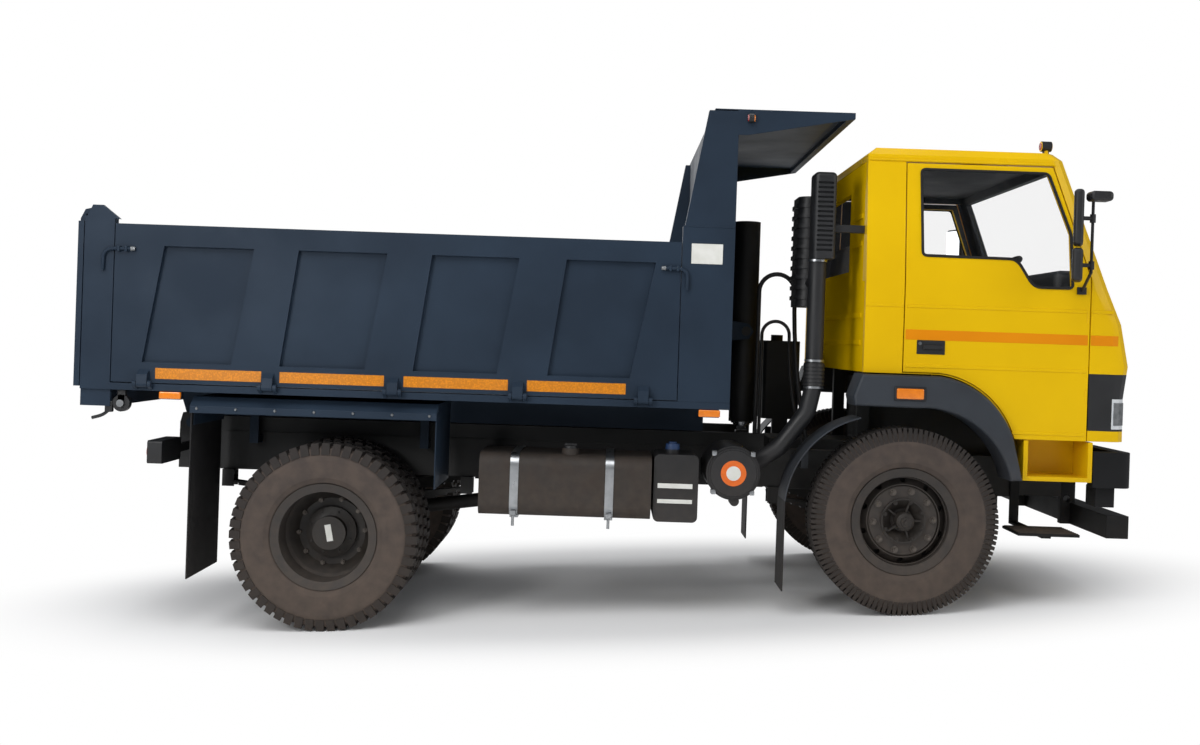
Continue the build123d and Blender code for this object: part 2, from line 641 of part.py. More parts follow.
# Fuel tank on two brackets, right side, with filler cap
TANK_X = (828.0, 1765.0)
TANK_Y = (-1028.0, -500.0)
TANK_Z = (146.0, 485.0)
TANK_EDGE = 70.0
STRAP_X = (1020.0, 1537.0)
STRAP_W = 46.0
BRACKET_T = 16.0
CAP_POS = (1319.0, -930.0)
CAP_H = 32.0
with BuildPart() as fuel_tank:
    block(TANK_X, TANK_Y, TANK_Z)
    fillet(fuel_tank.edges().filter_by(Axis.X), radius=TANK_EDGE)
    post(CAP_POS, 48.0, (TANK_Z[1] - 6.0, TANK_Z[1] + CAP_H))
keep("fuel_tank", fuel_tank)

with BuildPart() as tank_brackets:
    for x in STRAP_X:
        width = (x - STRAP_W / 2, x + STRAP_W / 2)
        block(width, (TANK_Y[0] + TANK_EDGE, -RAIL_Y), (TANK_Z[0] - BRACKET_T, TANK_Z[0]))
        block(width, (-RAIL_Y - 2 * BRACKET_T, -RAIL_Y), (TANK_Z[0] - BRACKET_T, RAIL_TOP - 30.0))
        block(width, (TANK_Y[1], -RAIL_Y), (TANK_Z[0] + 150.0, TANK_Z[0] + 190.0))
keep("tank_brackets", tank_brackets)

# Additive tank beside the fuel tank, on a shelf from the rail
DEF_X = (1778.0, 2021.0)
DEF_Y = (-1000.0, -640.0)
DEF_Z = (138.0, 505.0)
with BuildPart() as additive_tank:
    block(DEF_X, DEF_Y, DEF_Z)
    fillet(additive_tank.edges().filter_by(Axis.Y), radius=30.0)
    post((sum(DEF_X) / 2 - 20.0, DEF_Y[0] + 90.0), 38.0, (DEF_Z[1] - 4.0, DEF_Z[1] + 30.0))
    block((DEF_X[0] + 60.0, DEF_X[1] - 60.0), (DEF_Y[1], -RAIL_Y), (RAIL_Z + 20.0, RAIL_Z + 90.0))
keep("additive_tank", additive_tank)

# Air cleaner canister across the truck, held to the rail
CLEANER = (2208.0, 417.0)
CLEANER_R = 147.0
CLEANER_Y = (-1010.0, -560.0)
with BuildPart() as air_cleaner:
    rod(CLEANER, CLEANER_R, CLEANER_Y)
    rod(CLEANER, CLEANER_R - 12.0, (CLEANER_Y[0] - 14.0, CLEANER_Y[1]))
    rod((CLEANER[0] + 12.0, CLEANER[1] - CLEANER_R - 8.0), 26.0, (CLEANER_Y[0] + 10.0, CLEANER_Y[0] + 90.0))
    arm_x = (CLEANER[0] - 40.0, CLEANER[0] + 40.0)
    block(arm_x, (CLEANER_Y[1] - 20.0, -RAIL_Y), (CLEANER[1] - 40.0, CLEANER[1] + 40.0))
keep("air_cleaner", air_cleaner)

# Raised air intake behind the cab: louvred head, pipe, bellows and the duct down to the canister
HEAD_X = (2600.0, 2724.0)
HEAD_Y = (-1010.0, -850.0)
HEAD_Z = (1601.0, 2073.0)
PIPE_X = 2640.0
PIPE_Y = -930.0
PIPE_R = 48.0
BELLOWS_R = 56.0
BELLOWS_Z = (905.0, 1030.0)
SLATS = 15
SLAT_DEEP = 14.0
BOWL = (2632.0, -620.0)        # ribbed dust bowl inboard of the pipe
BOWL_SIZE = (150.0, 300.0)
BOWL_Z = (1344.0, 1964.0)
BOWL_RIBS = 10
BOWL_RIB_T = 22.0
BOWL_RIB_DEEP = 9.0
with BuildPart() as air_intake:
    block(HEAD_X, HEAD_Y, HEAD_Z)
    fillet(air_intake.edges().filter_by(Axis.Z), radius=30.0)
    fillet(air_intake.faces().sort_by(Axis.Z)[-1].edges(), radius=24.0)
    pitch = (HEAD_Z[1] - HEAD_Z[0] - 80.0) / SLATS
    for k in range(SLATS):
        low = HEAD_Z[0] + 40.0 + k * pitch
        groove = (low, low + pitch * 0.45)
        block((HEAD_X[0] + 20.0, HEAD_X[1] - 20.0), (HEAD_Y[0], HEAD_Y[0] + SLAT_DEEP), groove, Mode.SUBTRACT)
    # stay to the back of the cab
    stay_z = HEAD_Z[0] + 150.0
    block((HEAD_X[1] - 10.0, CAB_REAR), (PIPE_Y - 25.0, PIPE_Y + 25.0), (stay_z, stay_z + 40.0))
    post((PIPE_X, PIPE_Y), PIPE_R, (BELLOWS_Z[1], HEAD_Z[0]))
    post((PIPE_X, PIPE_Y), BELLOWS_R, BELLOWS_Z)
    pipe(
        [
            (PIPE_X, PIPE_Y, BELLOWS_Z[0]),
            (PIPE_X - 30.0, PIPE_Y, 760.0),
            (2470.0, PIPE_Y + 30.0, 560.0),
            (CLEANER[0] + CLEANER_R - 30.0, PIPE_Y + 90.0, CLEANER[1] + 30.0),
        ],
        (120.0, 120.0),
        PIPE_R,
    )
    rod(CLEANER, CLEANER_R, (CLEANER_Y[0] - 20.0, CLEANER_Y[1] + 20.0), Mode.SUBTRACT)
    # dust bowl with its ribs, and the duct from the pipe into it
    bowl_h = BOWL_Z[1] - BOWL_Z[0]
    rib_pitch = (bowl_h - BOWL_RIB_T - 80.0) / (BOWL_RIBS - 1)
    layers = [(BOWL_Z[0], bowl_h, 0.0)]
    layers += [(BOWL_Z[0] + 40.0 + k * rib_pitch, BOWL_RIB_T, BOWL_RIB_DEEP) for k in range(BOWL_RIBS)]
    for low, height, proud in layers:
        with BuildSketch(Plane.XY.offset(low)) as outline:
            with Locations(BOWL):
                length, width = BOWL_SIZE[0] + 2 * proud, BOWL_SIZE[1] + 2 * proud
                RectangleRounded(length, width, 0.45 * length)
        extrude(outline.sketch, amount=height)
    rod((PIPE_X, BOWL_Z[0] + 130.0), 0.8 * PIPE_R, (PIPE_Y, BOWL[1]))
keep("air_intake", air_intake)

# Rear mudguards: bent sheet over the twin tyres, front leg, rear closing plate and stays to the rail
GUARD_X = (-727.0, 599.0)
GUARD_Y = 1098.0
GUARD_IN = 500.0
GUARD_TOP = 738.0
GUARD_EDGE = 690.0
GUARD_LOW = 652.0
GUARD_T = 5.0
LEG_LOW = 282.0
STAY_X = (-560.0, 430.0)
with BuildPart() as rear_mudguards:
    for side in (1, -1):
        sheet = [
            (GUARD_IN, GUARD_TOP),
            (GUARD_Y - 68.0, GUARD_TOP),
            (GUARD_Y, GUARD_EDGE),
            (GUARD_Y, GUARD_LOW),
            (GUARD_Y - GUARD_T, GUARD_LOW),
            (GUARD_Y - GUARD_T, GUARD_EDGE - 3.0),
            (GUARD_Y - 70.0, GUARD_TOP - GUARD_T),
            (GUARD_IN, GUARD_TOP - GUARD_T),
        ]
        cross_plate([(side * y, z) for y, z in sheet], GUARD_X)
    pair((GUARD_X[1] - GUARD_T, GUARD_X[1]), (GUARD_IN, GUARD_Y - 70.0), (LEG_LOW, GUARD_TOP - 1.0))
    pair((GUARD_X[1] - GUARD_T, GUARD_X[1]), (GUARD_IN, GUARD_Y - 8.0), (LEG_LOW, GUARD_EDGE))
    pair((GUARD_X[0], GUARD_X[0] + GUARD_T), (GUARD_IN, GUARD_Y - 70.0), (GUARD_LOW - 70.0, GUARD_TOP - 1.0))
    for x in STAY_X:
        pair((x, x + 50.0), (RAIL_Y, GUARD_IN + 30.0), (RAIL_TOP - 60.0, RAIL_TOP - 20.0))
        pair((x, x + 50.0), (GUARD_IN, GUARD_IN + 30.0), (RAIL_TOP - 60.0, GUARD_TOP - 1.0))
keep("rear_mudguards", rear_mudguards)

# Front mudguards: quarter sheets behind the front wheels, and the flares on the cab's wheel arches
FLARE_Y = (860.0, 1092.0)
FENDER_Y = (780.0, 1050.0)
FENDER_T = 7.0
FENDER_LOW = (2485.0, 279.0)
FENDER_MID = (2602.0, 566.0)
FENDER_TOP = (2885.0, 745.0)
ARCH_TOP = (3302.0, CAB_DECK_Z)
ARCH_MID = (3575.0, 866.0)
ARCH_LOW = (3712.0, CAB_FLOOR_Z)
ARCH_TIP = (3766.0, 433.0)
FLARE_ROUND = 18.0
FLARE_END = (
    # rear end of a flare, from the cab's deck down to its lower edge
    (CAB_REAR - 14.0, CAB_DECK_Z - 8.0),
    (CAB_REAR - 58.0, CAB_DECK_Z - 130.0),
    (CAB_REAR - 46.0, CAB_DECK_Z - 180.0),
)
FLARE_FOOT = (3694.0, 431.0)
FLARE_LOW_MID = (3520.0, 706.0)
FLARE_LOW_REAR = (3180.0, 806.0)


def flare_block(side):
    """One flare, with the edges of its outer face rounded."""
    y = FLARE_Y if side > 0 else (-FLARE_Y[1], -FLARE_Y[0])
    with BuildPart() as flare:
        with BuildSketch(Plane.XZ.offset(-y[1])):
            with BuildLine():
                top = Line(FLARE_END[0], (ARCH_TOP[0], ARCH_TOP[1] - 8.0))
                middle = (ARCH_MID[0] - 6.0, ARCH_MID[1] - 6.0)
                arc = ThreePointArc(top @ 1, middle, (ARCH_LOW[0] - 8.0, ARCH_LOW[1]))
                tip = Line(arc @ 1, (ARCH_TIP[0] - 8.0, ARCH_TIP[1]))
                foot = Line(tip @ 1, FLARE_FOOT)
                low = ThreePointArc(foot @ 1, FLARE_LOW_MID, FLARE_LOW_REAR)
                Polyline(low @ 1, FLARE_END[2], FLARE_END[1], FLARE_END[0])
            make_face()
        extrude(amount=y[1] - y[0])
        outer = flare.faces().sort_by(Axis.Y)[-1 if side > 0 else 0]
        fillet(outer.edges(), radius=FLARE_ROUND)
    return flare.part


with BuildPart() as wheel_arches:
    for side in (1, -1):
        y = FENDER_Y if side > 0 else (-FENDER_Y[1], -FENDER_Y[0])
        with BuildSketch(Plane.XZ.offset(-y[1])) as fender:
            with BuildLine():
                outer = ThreePointArc(FENDER_LOW, FENDER_MID, FENDER_TOP)
                inner = ThreePointArc(
                    (FENDER_LOW[0] + FENDER_T, FENDER_LOW[1]),
                    (FENDER_MID[0] + 5.0, FENDER_MID[1] - 5.0),
                    (FENDER_TOP[0], FENDER_TOP[1] - FENDER_T),
                )
                Line(outer @ 0, inner @ 0)
                Line(outer @ 1, inner @ 1)
            make_face()
        extrude(fender.sketch, amount=y[1] - y[0])
        add(flare_block(side))
    # flange of each flare under the cab floor
    flange_x = (CAB_REAR + 10.0, ARCH_TOP[0] - 30.0)
    pair(flange_x, (FLARE_Y[0], FLARE_Y[0] + 120.0), (CAB_DECK_Z - 20.0, CAB_DECK_Z))
    # stays of the quarter sheets
    pair((2600.0, 2640.0), (RAIL_Y, FENDER_Y[0] + 60.0), (RAIL_TOP - 70.0, RAIL_TOP - 30.0))
    pair((2600.0, 2640.0), (FENDER_Y[0], FENDER_Y[0] + 60.0), (RAIL_TOP - 70.0, 560.0))
keep("wheel_arches", wheel_arches)

# Rubber mud flaps behind the rear and the front wheels
FLAP_T = 8.0
with BuildPart() as mud_flaps:
    pair((GUARD_X[0] - FLAP_T, GUARD_X[0]), (GUARD_IN + 20.0, GUARD_Y - 42.0), (-250.0, GUARD_LOW))
    front_flap_x = (FENDER_LOW[0] - 2.0, FENDER_LOW[0] + FLAP_T - 2.0)
    pair(front_flap_x, FENDER_Y, (-209.0, FENDER_LOW[1]))
keep("mud_flaps", mud_flaps)

# Tail lamp clusters on arms from the rail ends
LAMP_X = (-980.0, -900.0)
LAMP_Y = (700.0, 1010.0)
LAMP_Z = (362.0, 488.0)
with BuildPart() as tail_lamps:
    pair(LAMP_X, LAMP_Y, LAMP_Z)
    fillet(tail_lamps.edges().filter_by(Axis.X), radius=14.0)
    pair((LAMP_X[1] - 26.0, LAMP_X[1]), (RAIL_Y, LAMP_Y[0] + 10.0), (LAMP_Z[0] + 40.0, LAMP_Z[1] - 40.0))
keep("tail_lamps", tail_lamps)

# Left side: battery box, air reservoirs, silencer, and the hydraulic oil tank behind the cab
BATTERY_X = (850.0, 1460.0)
BATTERY_Y = (480.0, 1000.0)
BATTERY_Z = (170.0, 470.0)
with BuildPart() as battery_box:
    block(BATTERY_X, BATTERY_Y, BATTERY_Z)
    fillet(battery_box.edges().filter_by(Axis.X), radius=18.0)
    for x in (BATTERY_X[0] + 60.0, BATTERY_X[1] - 120.0):
        block((x, x + 60.0), (RAIL_Y, BATTERY_Y[0] + 5.0), (BATTERY_Z[0] + 110.0, BATTERY_Z[1] - 40.0))
keep("battery_box", battery_box)

RESERVOIR_R = 118.0
RESERVOIR_X = (1530.0, 2010.0)
RESERVOIR_Z = 335.0
RESERVOIR_Y = (585.0, 845.0)
with BuildPart() as air_reservoirs:
    for y in RESERVOIR_Y:
        bar((RESERVOIR_X[0], y, RESERVOIR_Z), (RESERVOIR_X[1], y, RESERVOIR_Z), RESERVOIR_R)
    fillet(air_reservoirs.edges().filter_by(GeomType.CIRCLE), radius=28.0)
    for x in (RESERVOIR_X[0] + 90.0, RESERVOIR_X[1] - 130.0):
        arm_z = (RESERVOIR_Z + RESERVOIR_R - 20.0, RESERVOIR_Z + RESERVOIR_R + 12.0)
        block((x, x + 40.0), (RAIL_Y, RESERVOIR_Y[1] + 20.0), arm_z)
keep("air_reservoirs", air_reservoirs)

SILENCER = (2215.0, 390.0)
SILENCER_R = 135.0
with BuildPart() as silencer:
    rod(SILENCER, SILENCER_R, (520.0, 980.0))
    fillet(silencer.edges().filter_by(GeomType.CIRCLE), radius=24.0)
    rod((SILENCER[0], SILENCER[1] - 60.0), 42.0, (960.0, 1040.0))
    block((SILENCER[0] - 35.0, SILENCER[0] + 35.0), (RAIL_Y, 540.0), (SILENCER[1] - 35.0, SILENCER[1] + 35.0))
keep("silencer", silencer)

OIL_X = (2520.0, 2760.0)
OIL_Y = (380.0, 770.0)
OIL_Z = (640.0, 1150.0)
with BuildPart() as hydraulic_tank:
    block(OIL_X, OIL_Y, OIL_Z)
    fillet(hydraulic_tank.edges().filter_by(Axis.Z), radius=30.0)
    post((sum(OIL_X) / 2, OIL_Y[1] - 110.0), 40.0, (OIL_Z[1] - 4.0, OIL_Z[1] + 40.0))
    block((OIL_X[0] + 70.0, OIL_X[1] - 70.0), (OIL_Y[0], RAIL_Y), (RAIL_TOP, OIL_Z[0]))
keep("hydraulic_tank", hydraulic_tank)

# Cab. One closed shell is lofted and then parted along the seams of the real panels
CORNER_R = 90.0
CORNER_STEPS = (0.0, 30.0, 60.0, 90.0)
SCREEN_TOP_X = 3976.0
SCREEN_TOP_Z = ROOF_Z - 40.0
SCREEN_LOW_X = 4222.0
BAND_Z = (714.0, 1021.0)       # dark band of grille and lamps round the nose
CAB_SECTIONS = (
    # height, rear x, front x, half width
    (CAB_FLOOR_Z, CAB_REAR, 4331.0, CAB_Y),
    (890.0, CAB_REAR, 4328.0, CAB_Y),
    (1065.0, CAB_REAR, 4350.0, CAB_Y),
    (1292.0, CAB_REAR, 4306.0, CAB_Y),
    (BELT_Z, CAB_REAR, SCREEN_LOW_X, CAB_Y),
    (SCREEN_TOP_Z, CAB_REAR, SCREEN_TOP_X, CAB_Y - TUMBLE),
    (ROOF_Z, CAB_REAR + 50.0, SCREEN_TOP_X - 42.0, CAB_Y - TUMBLE - 38.0),
)
DECK_FLAT = (CAB_REAR - 50.0, CAB_DECK_Z)


def arch_cut(lift):
    """Takes away what lies under the wheel arch, raised by lift for the inside."""
    with BuildSketch(Plane.XZ.offset(-CAB_Y - 60.0)) as under:
        with BuildLine():
            arc = ThreePointArc(
                (ARCH_LOW[0] + lift, CAB_FLOOR_Z + lift - 1.0),
                (ARCH_MID[0] + 0.7 * lift, ARCH_MID[1] + 0.7 * lift),
                (ARCH_TOP[0] + 0.3 * lift, ARCH_TOP[1] + lift),
            )
            Polyline(
                arc @ 1,
                (DECK_FLAT[0], CAB_DECK_Z + lift),
                (DECK_FLAT[0], CAB_FLOOR_Z - 60.0),
                (ARCH_LOW[0] + lift, CAB_FLOOR_Z - 60.0),
                arc @ 0,
            )
        make_face()
    extrude(under.sketch, amount=2 * CAB_Y + 120.0, mode=Mode.SUBTRACT)


def cab_loft(inset):
    """The cab's outside, or its inside when every wall is set in by inset."""
    sections = []
    last = len(CAB_SECTIONS) - 1
    radius = CORNER_R - inset
    for k, (z, rear, front, half) in enumerate(CAB_SECTIONS):
        height = z + inset if k == 0 else z - inset if k == last else z
        corner = []
        for degrees in CORNER_STEPS:
            a = math.radians(degrees)
            x = front - inset - radius * (1 - math.sin(a))
            corner.append((x, half - inset - radius * (1 - math.cos(a))))
        left = [(rear + inset, half - inset)] + corner
        right = [(x, -y) for x, y in reversed(left)]
        with BuildSketch(Plane.XY.offset(height)) as section:
            Polygon(*left, *right, align=None)
        sections.append(section.sketch)
    loft(sections, ruled=True)
    arch_cut(inset)


with BuildPart() as cab_inside:
    cab_loft(CAB_WALL)

with BuildPart() as cab_shell:
    cab_loft(0.0)
    add(cab_inside.part, mode=Mode.SUBTRACT)

# Seams in side view. The door's front edge follows the screen pillar above the belt
PILLAR_W = 95.0
DOOR_KINK_Z = 1535.0           # where the door's front edge leaves the pillar and drops
AHEAD = 4450.0                 # anywhere clear of the nose
NOSE_IN = 4200.0               # inside the wall of the nose
SCREEN_BACK = 3600.0           # anywhere behind the screen
DOOR_TOP_X = SCREEN_TOP_X - PILLAR_W + (SCREEN_TOP_Z - DOOR_TOP) * 0.4
DOOR_LOW_Z = CAB_DECK_Z + 10.0


def door_outline(grow):
    """Door edge in side view, grown on all sides by grow."""
    with BuildLine() as edge:
        arc = ThreePointArc(
            (ARCH_LOW[0] + 8.0 - grow, CAB_FLOOR_Z - grow),
            (ARCH_MID[0] + 8.0 - 0.7 * grow, ARCH_MID[1] + 8.0 - 0.7 * grow),
            (ARCH_TOP[0], DOOR_LOW_Z - grow),
        )
        Polyline(
            arc @ 1,
            (DOOR_REAR - grow, DOOR_LOW_Z - grow),
            (DOOR_REAR - grow, DOOR_TOP + grow),
            (DOOR_TOP_X + grow, DOOR_TOP + grow),
            (DOOR_FRONT + grow, DOOR_KINK_Z + 0.3 * grow),
            (DOOR_FRONT + grow, CAB_FLOOR_Z - grow),
            arc @ 0,
        )
    return edge.line


def door_prism(grow, y, mode):
    """The door's outline run across from y[0] to y[1]."""
    edge = door_outline(grow)
    with BuildSketch(Plane.XZ.offset(-y[1])) as face:
        with BuildLine():
            add(edge)
        make_face()
    extrude(face.sketch, amount=y[1] - y[0], mode=mode)


WALL_IN = CAB_Y - CAB_WALL - TUMBLE - 40.0
SIDE_FULL = (WALL_IN, CAB_Y + 20.0)
ROOF_FRONT_X = SCREEN_TOP_X - 42.0
FRONT_SEAM = [
    (DOOR_FRONT + DOOR_GAP, CAB_FLOOR_Z - 10.0),
    (DOOR_FRONT + DOOR_GAP, DOOR_KINK_Z + 0.3 * DOOR_GAP),
    (DOOR_TOP_X + DOOR_GAP, DOOR_TOP + DOOR_GAP),
    (ROOF_FRONT_X, DOOR_TOP + DOOR_GAP),
    (ROOF_FRONT_X, ROOF_Z + 50.0),
    (AHEAD, ROOF_Z + 50.0),
    (AHEAD, CAB_FLOOR_Z - 10.0),
]
ROOF_SEAM = DOOR_TOP + DOOR_GAP
REAR_IN = CAB_REAR + CAB_WALL

# Floor with the engine tunnel
TUNNEL_X = (3230.0, 4010.0)
TUNNEL_Y = 385.0
TUNNEL_TOP = 1075.0
TUNNEL_T = 16.0
FLOOR_END = 4240.0
with BuildPart() as cab_floor:
    add(cab_shell.part)
    floor_x = (REAR_IN, FLOOR_END)
    floor_y = CAB_Y - CAB_WALL
    block(floor_x, (-floor_y, floor_y), (CAB_FLOOR_Z, CAB_DECK_Z + CAB_WALL + 5.0), Mode.INTERSECT)
    above_floor = (CAB_FLOOR_Z + CAB_WALL, TUNNEL_TOP)
    block((TUNNEL_X[1], FLOOR_END + 50.0), (-CAB_Y, CAB_Y), above_floor, Mode.SUBTRACT)
    block(TUNNEL_X, (-TUNNEL_Y, TUNNEL_Y), (CAB_FLOOR_Z - 5.0, TUNNEL_TOP))
    inside_x = (TUNNEL_X[0] + TUNNEL_T, TUNNEL_X[1] - TUNNEL_T)
    inside_y = TUNNEL_Y - TUNNEL_T
    block(inside_x, (-inside_y, inside_y), (CAB_FLOOR_Z - 20.0, TUNNEL_TOP - TUNNEL_T), Mode.SUBTRACT)
    arch_cut(0.0)
    block(floor_x, (-floor_y, floor_y), (CAB_FLOOR_Z - 30.0, CAB_FLOOR_Z), Mode.SUBTRACT)
    # the floor's edge stays clear of the doors
    edge_x = (DOOR_REAR - DOOR_GAP, DOOR_FRONT + DOOR_GAP)
    pair(edge_x, (floor_y - DOOR_GAP, CAB_Y), (CAB_FLOOR_Z - 5.0, TUNNEL_TOP), Mode.SUBTRACT)
keep("cab_floor", cab_floor)

# Rear wall with a window
REAR_WINDOW_Y = 520.0
REAR_WINDOW_Z = (1560.0, 2010.0)
with BuildPart() as cab_rear_wall:
    add(cab_shell.part)
    rear_y = CAB_Y - CAB_WALL
    block((CAB_REAR - 5.0, REAR_IN), (-rear_y, rear_y), (CAB_DECK_Z - 5.0, ROOF_SEAM), Mode.INTERSECT)
    both_sides(
        [
            (CAB_REAR - 10.0, BELT_Z),
            (REAR_IN + 10.0, BELT_Z),
            (REAR_IN + 10.0, ROOF_Z),
            (CAB_REAR - 10.0, ROOF_Z),
        ],
        (rear_y - TUMBLE, rear_y + 10.0),
        Mode.SUBTRACT,
    )
    rear_glass_x = (CAB_REAR - 20.0, REAR_IN + 20.0)
    block(rear_glass_x, (-REAR_WINDOW_Y, REAR_WINDOW_Y), REAR_WINDOW_Z, Mode.SUBTRACT)
keep("cab_rear_wall", cab_rear_wall)

# Roof with a marker lamp over each front corner
ROOF_LAMP = (3890.0, 880.0)
ROOF_LAMP_R = 27.0
ROOF_LAMP_L = 58.0
ROOF_LAMP_H = 46.0             # axis of a lamp above the roof
with BuildPart() as cab_roof:
    add(cab_shell.part)
    block((CAB_REAR - 5.0, AHEAD), (-CAB_Y, CAB_Y), (ROOF_SEAM, ROOF_Z + 5.0), Mode.INTERSECT)
    side_plate(FRONT_SEAM, (-CAB_Y, CAB_Y), Mode.SUBTRACT)
    for side in (1, -1):
        x, y = ROOF_LAMP[0], side * ROOF_LAMP[1]
        post((x, y), 0.6 * ROOF_LAMP_R, (ROOF_Z - 2.0, ROOF_Z + ROOF_LAMP_H))
        with Locations(Location((x, y, ROOF_Z + ROOF_LAMP_H), (0, 90, 0))):
            Cylinder(ROOF_LAMP_R, ROOF_LAMP_L)
keep("cab_roof", cab_roof)

# Front: nose panel, screen frame and the lip under the dark band
SCREEN_Y = 900.0
SCREEN_Z = (BELT_Z + 45.0, SCREEN_TOP_Z - 45.0)
with BuildPart() as cab_front:
    add(cab_shell.part)
    side_plate(FRONT_SEAM, (-CAB_Y, CAB_Y), Mode.INTERSECT)
    floor_y = CAB_Y - CAB_WALL
    floor_band = (CAB_FLOOR_Z - 1.0, CAB_FLOOR_Z + CAB_WALL)
    block((DOOR_FRONT, FLOOR_END), (-floor_y, floor_y), floor_band, Mode.SUBTRACT)
    block((DOOR_FRONT, AHEAD), (-CAB_Y, CAB_Y), BAND_Z, Mode.SUBTRACT)
    block((SCREEN_BACK, AHEAD), (-SCREEN_Y, SCREEN_Y), SCREEN_Z, Mode.SUBTRACT)
keep("cab_front", cab_front)

# Dark band round the nose with grille slots and pockets for the headlamps
HEADLAMP_X = 4240.0            # how far a headlamp wraps back along the cab's side
HEADLAMP_Y = 690.0
HEADLAMP_Z = (725.0, 888.0)
GRILLE_Y = 600.0
GRILLE_BARS = 6
with BuildPart() as grille:
    add(cab_shell.part)
    block((DOOR_FRONT + DOOR_GAP, AHEAD), (-CAB_Y, CAB_Y), BAND_Z, Mode.INTERSECT)
    pitch = (BAND_Z[1] - BAND_Z[0] - 60.0) / GRILLE_BARS
    for k in range(GRILLE_BARS):
        low = BAND_Z[0] + 30.0 + k * pitch
        block((NOSE_IN, AHEAD), (-GRILLE_Y, GRILLE_Y), (low, low + 0.5 * pitch), Mode.SUBTRACT)
    pair((HEADLAMP_X, AHEAD), (HEADLAMP_Y, CAB_Y + 5.0), HEADLAMP_Z, Mode.SUBTRACT)
keep("grille", grille)

with BuildPart() as headlamps:
    add(cab_shell.part)
    block((HEADLAMP_X, AHEAD), (-CAB_Y, CAB_Y), HEADLAMP_Z, Mode.INTERSECT)
    block((HEADLAMP_X, AHEAD), (-HEADLAMP_Y, HEADLAMP_Y), HEADLAMP_Z, Mode.SUBTRACT)
keep("headlamps", headlamps)

# Sides: rear quarters, sills and the open step wells under the doors
WELL_X = (3771.0, 4144.0)
WELL_Z = (433.0, 650.0)
WELL_Y = (790.0, CAB_Y)
WELL_T = 24.0
with BuildPart() as cab_sides:
    add(cab_shell.part)
    block((CAB_REAR - 5.0, AHEAD), (-CAB_Y, CAB_Y), (CAB_FLOOR_Z - 5.0, ROOF_SEAM), Mode.INTERSECT)
    side_plate(FRONT_SEAM, (-CAB_Y, CAB_Y), Mode.SUBTRACT)
    low_y = CAB_Y - CAB_WALL
    block((CAB_REAR - 5.0, AHEAD), (-low_y, low_y), (CAB_FLOOR_Z - 5.0, BELT_Z), Mode.SUBTRACT)
    top_y = low_y - TUMBLE
    block((CAB_REAR - 5.0, AHEAD), (-top_y, top_y), (BELT_Z - 1.0, ROOF_SEAM), Mode.SUBTRACT)
    for side in (1, -1):
        door_prism(DOOR_GAP, SIDE_FULL if side > 0 else (-SIDE_FULL[1], -SIDE_FULL[0]), Mode.SUBTRACT)
    for side in (1, -1):
        well_y = WELL_Y if side > 0 else (-WELL_Y[1], -WELL_Y[0])
        hollow_y = (WELL_Y[0] + WELL_T, WELL_Y[1] + 5.0)
        hollow_y = hollow_y if side > 0 else (-hollow_y[1], -hollow_y[0])
        block(WELL_X, well_y, WELL_Z)
        hollow_x = (WELL_X[0] + WELL_T, WELL_X[1] - WELL_T)
        block(hollow_x, hollow_y, (WELL_Z[0] + WELL_T, WELL_Z[1] + 5.0), Mode.SUBTRACT)
        inner_y = (WELL_Y[0], WELL_Y[0] + WELL_T) if side > 0 else (-WELL_Y[0] - WELL_T, -WELL_Y[0])
        block(WELL_X, inner_y, (WELL_Z[0], CAB_FLOOR_Z))
keep("cab_sides", cab_sides)

# Doors with their window openings, and the door glass
WINDOW = [
    # from the top rear corner down, along the sill and its step, and up the front edge
    (3182.0, 2106.0),
    (3194.0, 1634.0),
    (3685.0, 1630.0),
    (3718.0, 1608.0),
    (3784.0, 1500.0),
    (3818.0, 1480.0),
    (4008.0, 1480.0),
    (3998.0, 1774.0),
    (3874.0, 2104.0),
]
GLASS_DROP = 30.0              # how far the glass reaches below the belt
DOOR_HINGE_Z = (900.0, 1330.0)
DOOR_PIN_R = 8.0
DOOR_PIN_L = 70.0
for side, tag in ((1, "left"), (-1, "right")):
    reach = SIDE_FULL if side > 0 else (-SIDE_FULL[1], -SIDE_FULL[0])
    with BuildPart() as door:
        add(cab_shell.part)
        door_prism(0.0, reach, Mode.INTERSECT)
        low_y = CAB_Y - CAB_WALL
        inner = (0.0, low_y) if side > 0 else (-low_y, 0.0)
        block((CAB_REAR, AHEAD), inner, (CAB_FLOOR_Z - 5.0, BELT_Z - 30.0), Mode.SUBTRACT)
        side_plate(WINDOW, reach, Mode.SUBTRACT)
        # hinge pins on the front edge
        for z in DOOR_HINGE_Z:
            pin_z = (z - DOOR_PIN_L / 2, z + DOOR_PIN_L / 2)
            post((DOOR_HINGE_X, side * DOOR_HINGE_Y), DOOR_PIN_R, pin_z)
    keep("door_" + tag, door)

    with BuildPart() as glass:
        middle = CAB_Y - CAB_WALL / 2
        lean = TUMBLE / (SCREEN_TOP_Z - BELT_Z)
        pane = [
            (middle - GLASS_T / 2 + GLASS_DROP * lean, BELT_Z - GLASS_DROP),
            (middle + GLASS_T / 2 + GLASS_DROP * lean, BELT_Z - GLASS_DROP),
            (middle - TUMBLE + GLASS_T / 2, SCREEN_TOP_Z),
            (middle - TUMBLE - GLASS_T / 2, SCREEN_TOP_Z),
        ]
        cross_plate([(side * y, z) for y, z in pane], (DOOR_REAR, DOOR_FRONT))
        side_plate(WINDOW, reach, Mode.INTERSECT)
    keep("door_glass_" + tag, glass)

